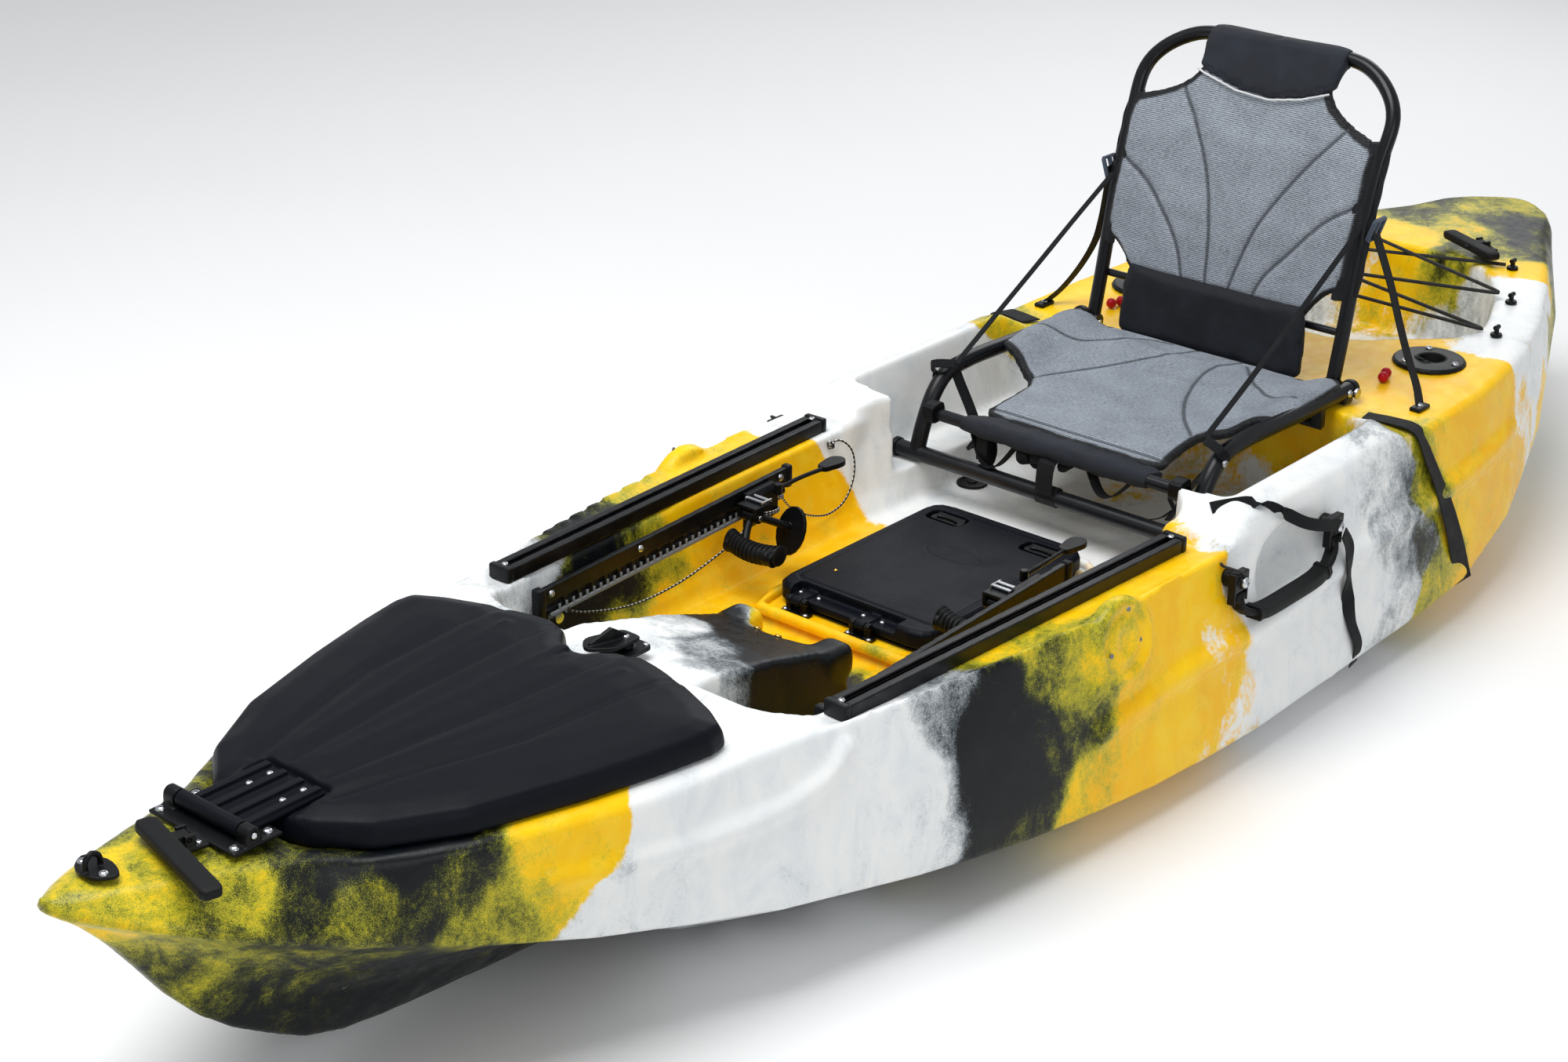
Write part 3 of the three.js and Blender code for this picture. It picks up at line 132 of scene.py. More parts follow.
class Shape:
    """Faces with UVs that are gathered into one piece."""

    def __init__(self):
        self.verts, self.faces, self.uvs = [], [], []

    def grid(self, rows, wrap=False, caps=False, u=None, v=None):
        rows = np.asarray(rows, float)
        m, n = rows.shape[:2]
        first = len(self.verts)
        if u is None:
            u = np.r_[0, np.cumsum(np.linalg.norm(np.diff(rows[:, 0], axis=0), axis=1))]
        if v is None:
            v = np.linspace(0, 1, n + 1 if wrap else n)
        self.verts += rows.reshape(-1, 3).tolist()
        for i in range(m - 1):
            for j in range(n if wrap else n - 1):
                k = (j + 1) % n
                self.faces.append([first + i * n + j, first + i * n + k,
                                   first + (i + 1) * n + k, first + (i + 1) * n + j])
                self.uvs += [(u[i], v[j]), (u[i], v[j + 1]), (u[i + 1], v[j + 1]), (u[i + 1], v[j])]
        if caps:
            for i, order in ((0, range(n - 1, -1, -1)), (m - 1, range(n))):
                self.faces.append([first + i * n + j for j in order])
                self.uvs += [(u[i], v[j]) for j in order]
        return self

    def tube(self, points, radius, sides=20, step=0.006, curved=True, side=UP):
        """A round bar along the points, with rounded ends."""
        path = smooth_path(points, step) if curved else np.array(points, float)
        along = path[-1] - path[-2]
        if abs(np.dot(np.array(side), along / np.linalg.norm(along))) > 0.95:
            side = (1, 0, 0)
        a, b = axes_along(path, side)
        angles = np.arange(sides) * 2 * math.pi / sides
        ring = (np.cos(angles)[None, :, None] * a[:, None]
                + np.sin(angles)[None, :, None] * b[:, None])
        rows = path[:, None] + ring * radius
        first = path[1] - path[0]
        tip = rows[0] * 0.72 + path[0] * 0.28 - first / np.linalg.norm(first) * radius * 0.18
        tail = rows[-1] * 0.72 + path[-1] * 0.28 + along / np.linalg.norm(along) * radius * 0.18
        return self.grid(np.concatenate([tip[None], rows, tail[None]]), wrap=True, caps=True)

    def ribbon(self, points, side, width, thick=0.0016, step=0.008, curved=True):
        """A strap along the points. side is its width's direction, for all of it or at each point."""
        path = smooth_path(points, step) if curved else np.array(points, float)
        along = np.gradient(path, axis=0)
        along /= np.linalg.norm(along, axis=1)[:, None]
        if np.ndim(side) == 1:
            across, _ = axes_along(path, side)
        else:
            given = smooth_path(side, 1e9)
            where = np.linspace(0, 1, len(given))
            here = np.linspace(0, 1, len(path))
            across = np.stack([np.interp(here, where, given[:, i]) for i in range(3)], axis=1)
            across -= along * np.sum(across * along, axis=1)[:, None]
            across /= np.linalg.norm(across, axis=1)[:, None]
        face = np.cross(along, across)
        w, t = width / 2, thick / 2
        edge = min(t, w * 0.2)
        section = [(-w, 0), (-w + edge, t), (0, t), (w - edge, t),
                   (w, 0), (w - edge, -t), (0, -t), (-w + edge, -t)]
        rows = np.stack([path + across * x + face * y for x, y in section], axis=1)
        v = np.array([0, 0.05, 0.5, 0.95, 1, 0.95, 0.5, 0.05, 0])
        return self.grid(rows, wrap=True, caps=True, v=v)

    def lathe(self, profile, centre, axis, sides=24):
        """A turned form: profile is (radius, distance along the axis)."""
        turn = Vector(UP).rotation_difference(Vector(axis)).to_matrix()
        angles = np.arange(sides) * 2 * math.pi / sides
        rows = [[np.array(turn @ Vector((r * math.cos(t), r * math.sin(t), h))) + centre for t in angles]
                for r, h in profile]
        return self.grid(rows, wrap=True, caps=True)

    def screw(self, centre, axis, r):
        """A dome-headed screw with a round socket."""
        profile = [(r, 0), (r, r * 0.12), (r * 0.9, r * 0.34), (r * 0.66, r * 0.52), (r * 0.42, r * 0.6),
                   (r * 0.34, r * 0.58), (r * 0.3, r * 0.28), (r * 0.05, r * 0.24)]
        return self.lathe(profile, np.array(centre, float), axis, 16)

    def block(self, centre, size, edge=0.002, turn=None):
        """A block with rounded edges."""
        x, y, z = (s / 2 for s in size)
        corners = [(x - edge, y - edge, 0), (-x + edge, y - edge, 90), (-x + edge, -y + edge, 180),
                   (x - edge, -y + edge, 270)]
        rings = []
        for lift, part in ((-z, 0.0), (-z + edge * 0.3, 0.7), (-z + edge, 1.0), (z - edge, 1.0),
                           (z - edge * 0.3, 0.7), (z, 0.0)):
            ring = []
            for cx, cy, start in corners:
                for step in (0, 30, 60, 90):
                    t = math.radians(start + step)
                    ring.append((cx + edge * part * math.cos(t), cy + edge * part * math.sin(t), lift))
            rings.append(ring)
        rows = np.array(rings, float)
        if turn is not None:
            rows = rows @ np.array(Matrix(turn).to_3x3()).T
        return self.grid(rows + np.array(centre, float), wrap=True, caps=True)

    def mesh(self, name, angle=40):
        mesh = bpy.data.meshes.new(name)
        mesh.from_pydata(self.verts, [], self.faces)
        mesh.uv_layers.new(name="UVMap").data.foreach_set("uv", np.array(self.uvs, np.float32).ravel())
        tidy = bmesh.new()
        tidy.from_mesh(mesh)
        bmesh.ops.recalc_face_normals(tidy, faces=tidy.faces)
        tidy.to_mesh(mesh)
        tidy.free()
        mesh.polygons.foreach_set("use_smooth", [True] * len(mesh.polygons))
        mesh.set_sharp_from_angle(angle=math.radians(angle))
        return mesh

    def piece(self, name, material, body="boat", slot=None, replaces=(), angle=40):
        return place(name, self.mesh(name, angle), material, body, slot, replaces)


def place(name, mesh, material, body="boat", slot=None, replaces=()):
    """Makes a piece of a mesh."""
    piece = bpy.data.objects.new(name, mesh)
    bpy.context.scene.collection.objects.link(piece)
    mesh.materials.clear()
    mesh.materials.append(material)
    if body:
        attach(piece, body)
    if replaces:
        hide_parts(*replaces)
    return piece


def applied(piece):
    """The mesh of a piece with its modifiers, which are then removed."""
    shown = piece.evaluated_get(bpy.context.evaluated_depsgraph_get())
    mesh = bpy.data.meshes.new_from_object(shown)
    piece.modifiers.clear()
    return mesh


def rounded_mesh(source, voxel, rounds, name):
    """A closed mesh remade in small squares and rubbed smooth, as a moulding's edges are."""
    work = bpy.data.objects.new(name, source)
    bpy.context.scene.collection.objects.link(work)
    remesh = work.modifiers.new("remesh", "REMESH")
    remesh.mode, remesh.voxel_size = "VOXEL", voxel
    if rounds:
        smooth = work.modifiers.new("smooth", "SMOOTH")
        smooth.factor, smooth.iterations = 0.5, rounds
    mesh = applied(work)
    bpy.data.objects.remove(work)
    mesh.name = name
    mesh.polygons.foreach_set("use_smooth", [True] * len(mesh.polygons))
    return mesh


def welded(node):
    """A copy of a CAD node's mesh with its shared corners joined."""
    work = bmesh.new()
    work.from_mesh(NODES[node].data)
    bmesh.ops.remove_doubles(work, verts=work.verts, dist=1e-6)
    mesh = bpy.data.meshes.new(node)
    work.to_mesh(mesh)
    work.free()
    return mesh


def body_of(node):
    return NODES[node]["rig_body"]


def moulded(node, voxel, rounds, material, slot):
    """A CAD node as a moulding with rounded edges."""
    mesh = rounded_mesh(welded(node), voxel, rounds, node + "_moulding")
    return place(node + "_moulding", mesh, material, body_of(node), slot, [node])


def coords_of(mesh):
    co = np.empty(len(mesh.vertices) * 3, np.float32)
    mesh.vertices.foreach_get("co", co)
    return co.reshape(-1, 3).astype(float)


def normals_of(mesh):
    out = np.empty(len(mesh.vertices) * 3, np.float32)
    mesh.vertex_normals.foreach_get("vector", out)
    return out.reshape(-1, 3).astype(float)


def set_coords(mesh, co):
    mesh.vertices.foreach_set("co", co.astype(np.float32).ravel())
    mesh.update()


def attribute(mesh, name, values, kind="FLOAT"):
    layer = mesh.attributes.new(name, kind, "POINT")
    field = "vector" if kind == "FLOAT_VECTOR" else "value"
    layer.data.foreach_set(field, values.astype(np.float32).ravel())


def distance_to_line(points, line):
    """Distance of each 2-D point to a line of straight stretches."""
    best = np.full(len(points), 1e9)
    line = np.array(line, float)
    for a, b in zip(line, line[1:]):
        d = b - a
        t = np.clip(((points - a) @ d) / (d @ d), 0, 1)
        best = np.minimum(best, np.linalg.norm(points - (a + t[:, None] * d), axis=1))
    return best


# ---- materials -----------------------------------------------------------------------------------
class Nodes:
    """A material's node tree, with one short call for each kind of node."""

    def __init__(self, name):
        self.material = bpy.data.materials.new(name)
        self.material.use_nodes = True
        self.tree = self.material.node_tree
        self.tree.nodes.clear()
        self.out = self.tree.nodes.new("ShaderNodeOutputMaterial")
        self.shader = self.tree.nodes.new("ShaderNodeBsdfPrincipled")
        self.tree.links.new(self.shader.outputs[0], self.out.inputs[0])
        self.place = self.node("ShaderNodeTexCoord").outputs["Object"]

    def node(self, kind, _inputs=None, **settings):
        node = self.tree.nodes.new(kind)
        for key, value in settings.items():
            setattr(node, key, value)
        for key, value in (_inputs or {}).items():
            self.feed(node.inputs[key], value)
        return node

    def feed(self, socket, value):
        if isinstance(value, bpy.types.NodeSocket):
            self.tree.links.new(value, socket)
        elif hasattr(value, "__len__") and socket.type == "RGBA" and len(value) == 3:
            socket.default_value = (*value, 1)
        else:
            socket.default_value = value

    def stretch(self, scale, vector=None):
        return self.node("ShaderNodeMapping", {"Vector": vector or self.place, "Scale": scale}).outputs[0]

    def noise(self, scale, detail=3.0, vector=None, rough=0.5, warp=0.0):
        return self.node("ShaderNodeTexNoise", {
            "Vector": vector or self.place, "Scale": scale, "Detail": detail, "Roughness": rough,
            "Distortion": warp}).outputs["Fac"]

    def math(self, operation, a, b=0.0):
        return self.node("ShaderNodeMath", {0: a, 1: b}, operation=operation).outputs[0]

    def sway(self, value, amount):
        """How far a noise is from its middle, times amount."""
        return self.math("MULTIPLY", self.math("SUBTRACT", value, 0.5), amount)

    def sine(self, value, turns):
        return self.math("SINE", self.math("MULTIPLY", value, turns))

    def sum(self, *terms):
        total = terms[0]
        for term in terms[1:]:
            total = self.math("ADD", total, term)
        return total

    def range(self, value, low, high, to_low=0.0, to_high=1.0, smooth=True):
        return self.node("ShaderNodeMapRange", {
            "Value": value, "From Min": low, "From Max": high, "To Min": to_low, "To Max": to_high},
            interpolation_type="SMOOTHSTEP" if smooth else "LINEAR").outputs[0]

    def mix(self, share, a, b):
        node = self.node("ShaderNodeMix", data_type="RGBA")
        self.feed(node.inputs[0], share)
        self.feed(node.inputs[6], a)
        self.feed(node.inputs[7], b)
        return node.outputs[2]

    def read(self, name, output="Fac"):
        return self.node("ShaderNodeAttribute", attribute_name=name).outputs[output]

    def bump(self, height, distance, strength=1.0, under=None):
        node = self.node("ShaderNodeBump",
                         {"Height": height, "Distance": distance, "Strength": strength})
        if under is not None:
            self.feed(node.inputs["Normal"], under)
        return node.outputs[0]

    def finish(self, **sockets):
        for key, value in sockets.items():
            self.feed(self.shader.inputs[key.replace("_", " ")], value)
        return self.material


def hex_colour(code):
    """Linear colour of an sRGB code."""
    parts = [int(code[i:i + 2], 16) / 255 for i in (0, 2, 4)]
    return tuple(c / 12.92 if c < 0.04045 else ((c + 0.055) / 1.055) ** 2.4 for c in parts)


def paint_material():
    """Rotomoulded plastic in swirled yellow, white and black powders that speckle where they meet, with soft
    patches of painted highlight on the yellow.
    """
    n = Nodes("hull_plastic")
    swirl = n.noise(5.0, 6, n.stretch((1, 1, 0.55)), 0.62, 1.2)
    curl = n.noise(17.0, 6, n.stretch((1, 1, 0.6)), 0.66, 0.8)
    grain = n.noise(1000.0, 2)
    fleck = n.noise(150.0, 3)
    soft = n.noise(38.0, 4)
    yellow = n.sum(n.read("paint_yellow"), n.sway(swirl, 1.0), n.sway(curl, 0.8), n.sway(fleck, 0.25))
    black = n.sum(n.read("paint_black"), n.sway(curl, 0.9), n.sway(swirl, 0.5), n.sway(soft, 0.35))
    dusted = n.sum(black, n.sway(grain, 0.8), n.sway(fleck, 0.3))
    share = n.range(yellow, 0.40, 0.62)
    gold = n.mix(n.range(swirl, 0.3, 0.7), hex_colour("F9CB08"), hex_colour("F3B606"))
    # Painted highlight: a paler yellow mixed into the gold, up to a quarter, in soft patches where the soft
    # noise is high.
    gold = n.mix(n.math("MULTIPLY", n.range(soft, 0.42, 0.62), 0.25), gold, hex_colour("FADA45"))
    white = n.mix(n.range(curl, 0.35, 0.7), hex_colour("E9EAE8"), hex_colour("DCE0E2"))
    base = n.mix(share, white, gold)
    olive = n.mix(share, hex_colour("A6ABAE"), hex_colour("A3A52C"))
    base = n.mix(n.range(dusted, 0.12, 0.42, 0, 0.9), base, olive)
    smoky = n.mix(share, hex_colour("5A6267"), hex_colour("4E521B"))
    base = n.mix(n.range(dusted, 0.36, 0.62), base, smoky)
    colour = n.mix(n.range(dusted, 0.56, 0.76), base, hex_colour("0B0F13"))
    peel = n.bump(n.noise(230.0, 2), 0.0006, 0.25)
    wave = n.bump(n.noise(9.0, 2), 0.004, 0.25, peel)
    gloss = n.range(n.noise(60.0, 4), 0.3, 0.7, 0.27, 0.4)
    scuff = n.range(n.noise(26.0, 8, n.stretch((1, 1, 6)), 0.75), 0.66, 0.74, 0, 0.15)
    return n.finish(Base_Color=colour, Roughness=n.math("ADD", gloss, scuff), Normal=wave, IOR=1.5,
                    Specular_IOR_Level=0.2)


def plastic_material(name, code, light, rough=0.45, grain=420.0, depth=0.0004, shine=0.2):
    """Moulded black plastic: fine spark-eroded grain, a little dust and rubbed edges."""
    n = Nodes(name)
    cloud = n.noise(7.0, 4, rough=0.6)
    dust = n.range(n.noise(48.0, 6, rough=0.7), 0.5, 0.78, 0, 0.22)
    colour = n.mix(dust, hex_colour(code), hex_colour(light))
    rub = n.range(n.node("ShaderNodeNewGeometry").outputs["Pointiness"], 0.53, 0.6, 0, 0.25)
    colour = n.mix(rub, colour, hex_colour(light))
    gloss = n.range(cloud, 0.3, 0.7, rough - 0.06, rough + 0.08)
    return n.finish(Base_Color=colour, Roughness=gloss, Normal=n.bump(n.noise(grain, 2), depth, 0.35),
                    Specular_IOR_Level=shine)


def metal_material(name, code, rough, metallic=1.0, brush=(1, 1, 1)):
    """Metal with fine brushing and slight stains."""
    n = Nodes(name)
    lines = n.noise(900.0, 3, n.stretch(brush))
    stain = n.noise(30.0, 5, rough=0.65)
    colour = n.mix(n.range(stain, 0.4, 0.75, 0, 0.3), hex_colour(code), hex_colour("3A3A3C"))
    gloss = n.sum(n.range(lines, 0.3, 0.7, rough - 0.05, rough + 0.06),
                  n.range(stain, 0.5, 0.8, 0, 0.08))
    return n.finish(Base_Color=colour, Roughness=gloss, Metallic=metallic,
                    Normal=n.bump(lines, 0.0002, 0.15))


def mesh_fabric():
    """Grey sling mesh: light cross threads in broken dashes over a dark ground."""
    n = Nodes("seat_fabric")
    weave = n.read("weave", "Vector")
    split = n.node("ShaderNodeSeparateXYZ", {0: weave})
    across, along = split.outputs[0], split.outputs[1]
    pitch = 2 * math.pi / 0.0029
    threads = n.sine(along, pitch)
    posts = n.sine(across, pitch * 0.62)
    cell = n.math("MULTIPLY", threads, posts)
    dashes = n.noise(1.0, 3, n.stretch((150, 620, 1), weave), 0.6)
    slow = n.noise(1.0, 4, n.stretch((14, 22, 1), weave), 0.6)
    tone = n.sum(n.math("MULTIPLY", threads, 0.2), n.math("MULTIPLY", cell, 0.2),
                 n.range(dashes, 0.3, 0.7, -0.17, 0.17, False),
                 n.range(slow, 0.3, 0.7, -0.06, 0.06, False), 0.5)
    colour = n.mix(n.range(tone, 0.1, 0.9), hex_colour("3B4047"), hex_colour("A9B1BB"))
    seam = n.read("seam")
    colour = n.mix(n.range(seam, 0.25, 0.95, 0, 0.8), colour, hex_colour("23262B"))
    binding = n.mix(n.range(dashes, 0.3, 0.7), hex_colour("0B0C0E"), hex_colour("1C1E21"))
    colour = n.mix(n.read("edge"), colour, binding)
    stitch = n.math("MULTIPLY", n.range(seam, 0.8, 0.98),
                    n.range(n.sine(n.sum(across, along), 1100.0), 0.1, 0.6))
    colour = n.mix(n.math("MULTIPLY", stitch, 0.55), colour, hex_colour("6E747C"))
    height = n.sum(n.math("MULTIPLY", threads, 0.5), n.math("MULTIPLY", cell, 0.5))
    return n.finish(Base_Color=colour, Roughness=n.range(tone, 0.2, 0.8, 0.72, 0.52),
                    Normal=n.bump(height, 0.0007, 0.5), Sheen_Weight=0.06, Sheen_Roughness=0.4,
                    Specular_IOR_Level=0.25)


def cloth_material(name, code, light, pitch=0.0022, rough=0.7):
    """Plain woven nylon: fine ribs both ways, from the place on the piece."""
    n = Nodes(name)
    split = n.node("ShaderNodeSeparateXYZ", {0: n.place})
    x, y, z = split.outputs
    ribs = n.sine(y, 2 * math.pi / pitch)
    rows = n.sine(n.math("SUBTRACT", z, x), 2 * math.pi / pitch)
    weave = n.math("MULTIPLY", ribs, rows)
    worn = n.noise(22.0, 5, rough=0.65)
    tone = n.sum(n.range(weave, -1, 1, 0, 0.35, False), n.range(worn, 0.35, 0.75, 0, 0.55))
    return n.finish(Base_Color=n.mix(tone, hex_colour(code), hex_colour(light)),
                    Roughness=n.range(worn, 0.3, 0.7, rough - 0.08, rough + 0.1),
                    Normal=n.bump(weave, 0.0005, 0.5), Sheen_Weight=0.03, Sheen_Roughness=0.5,
                    Specular_IOR_Level=0.22)


def webbing_material():
    """Black nylon webbing with cross ribs."""
    n = Nodes("webbing")
    uv = n.node("ShaderNodeUVMap", uv_map="UVMap").outputs[0]
    split = n.node("ShaderNodeSeparateXYZ", {0: uv})
    along, across = split.outputs[0], split.outputs[1]
    ribs = n.sine(along, 2 * math.pi / 0.0026)
    cords = n.sine(across, 2 * math.pi * 11)
    weave = n.sum(n.math("MULTIPLY", ribs, 0.6), n.math("MULTIPLY", cords, 0.4))
    worn = n.noise(35.0, 5, rough=0.7)
    tone = n.sum(n.range(weave, -1, 1, 0, 0.4, False), n.range(worn, 0.4, 0.8, 0, 0.5))
    return n.finish(Base_Color=n.mix(tone, hex_colour("0A0B0C"), hex_colour("202226")),
                    Roughness=n.range(worn, 0.3, 0.7, 0.55, 0.75), Normal=n.bump(weave, 0.0006, 0.6),
                    Sheen_Weight=0.02, Specular_IOR_Level=0.15)


def cord_material(name, dark, light, turns, strands):
    """Braided cord: two colours that wind round it."""
    n = Nodes(name)
    uv = n.node("ShaderNodeUVMap", uv_map="UVMap").outputs[0]
    split = n.node("ShaderNodeSeparateXYZ", {0: uv})
    along, around = split.outputs[0], split.outputs[1]
    far = n.math("MULTIPLY", along, turns)
    round_it = n.math("MULTIPLY", around, 2 * math.pi * strands)
    one = n.math("SINE", n.sum(far, round_it))
    two = n.math("SINE", n.math("SUBTRACT", far, round_it))
    braid = n.math("MULTIPLY", one, two)
    return n.finish(Base_Color=n.mix(n.range(braid, 0.1, 0.4), hex_colour(dark), hex_colour(light)),
                    Roughness=n.range(n.noise(80.0, 3), 0.3, 0.7, 0.6, 0.8),
                    Normal=n.bump(braid, 0.0004, 0.6))


def floor_material():
    n = Nodes("floor")
    tone = n.mix(n.noise(1.5, 3), (0.82, 0.82, 0.82), (0.85, 0.85, 0.85))
    return n.finish(Base_Color=tone, Roughness=0.8)


HULL = paint_material()
LID = plastic_material("lid_plastic", "0B0E15", "171B24", 0.45, 300.0, 0.0006, 0.1)
BLACK = plastic_material("black_plastic", "08090B", "1E2023", 0.38)
RUBBER = plastic_material("rubber", "0B0C0D", "202122", 0.6, 500.0)
RAIL = metal_material("anodised_rail", "121315", 0.34, 0.6, (0.02, 1, 1))
TUBE = plastic_material("seat_tube", "0B0C0F", "272A2F", 0.28, 700.0, 0.0002, 0.3)
STEEL = metal_material("steel", "C9CCD0", 0.22)
FABRIC = mesh_fabric()
BINDING = cloth_material("binding", "0B0C0E", "222429", 0.0020, 0.72)
NYLON = cloth_material("nylon", "15181F", "2A2F39", 0.0016, 0.6)
LUMBAR = cloth_material("lumbar", "0C0E13", "1E222A", 0.0030, 0.5)
WEBBING = webbing_material()
ROPE = cord_material("braided_cord", "131313", "D8D8D0", 420.0, 1)
ELASTIC = cord_material("elastic_cord", "0B0B0C", "2E2E30", 2200.0, 4)
RED = plastic_material("red_ball", "B0101C", "D8323A", 0.22)

SCREWS = {}


def screw(body, centre, axis, r):
    """Notes a steel screw, to be made with the others on its body."""
    SCREWS.setdefault(body, Shape()).screw(centre, axis, r)


# ---- hull ----------------------------------------------------------------------------------------
hull_tree = None


def on_hull(origin, direction):
    """Where a line meets the hull, and the hull's normal there."""
    found = hull_tree.ray_cast(Vector(origin), Vector(direction).normalized())
    return np.array(found[0]), np.array(found[1])


def on_flank(x, z, side):
    return on_hull((x, side * 1.0, z), (0, -side, 0))
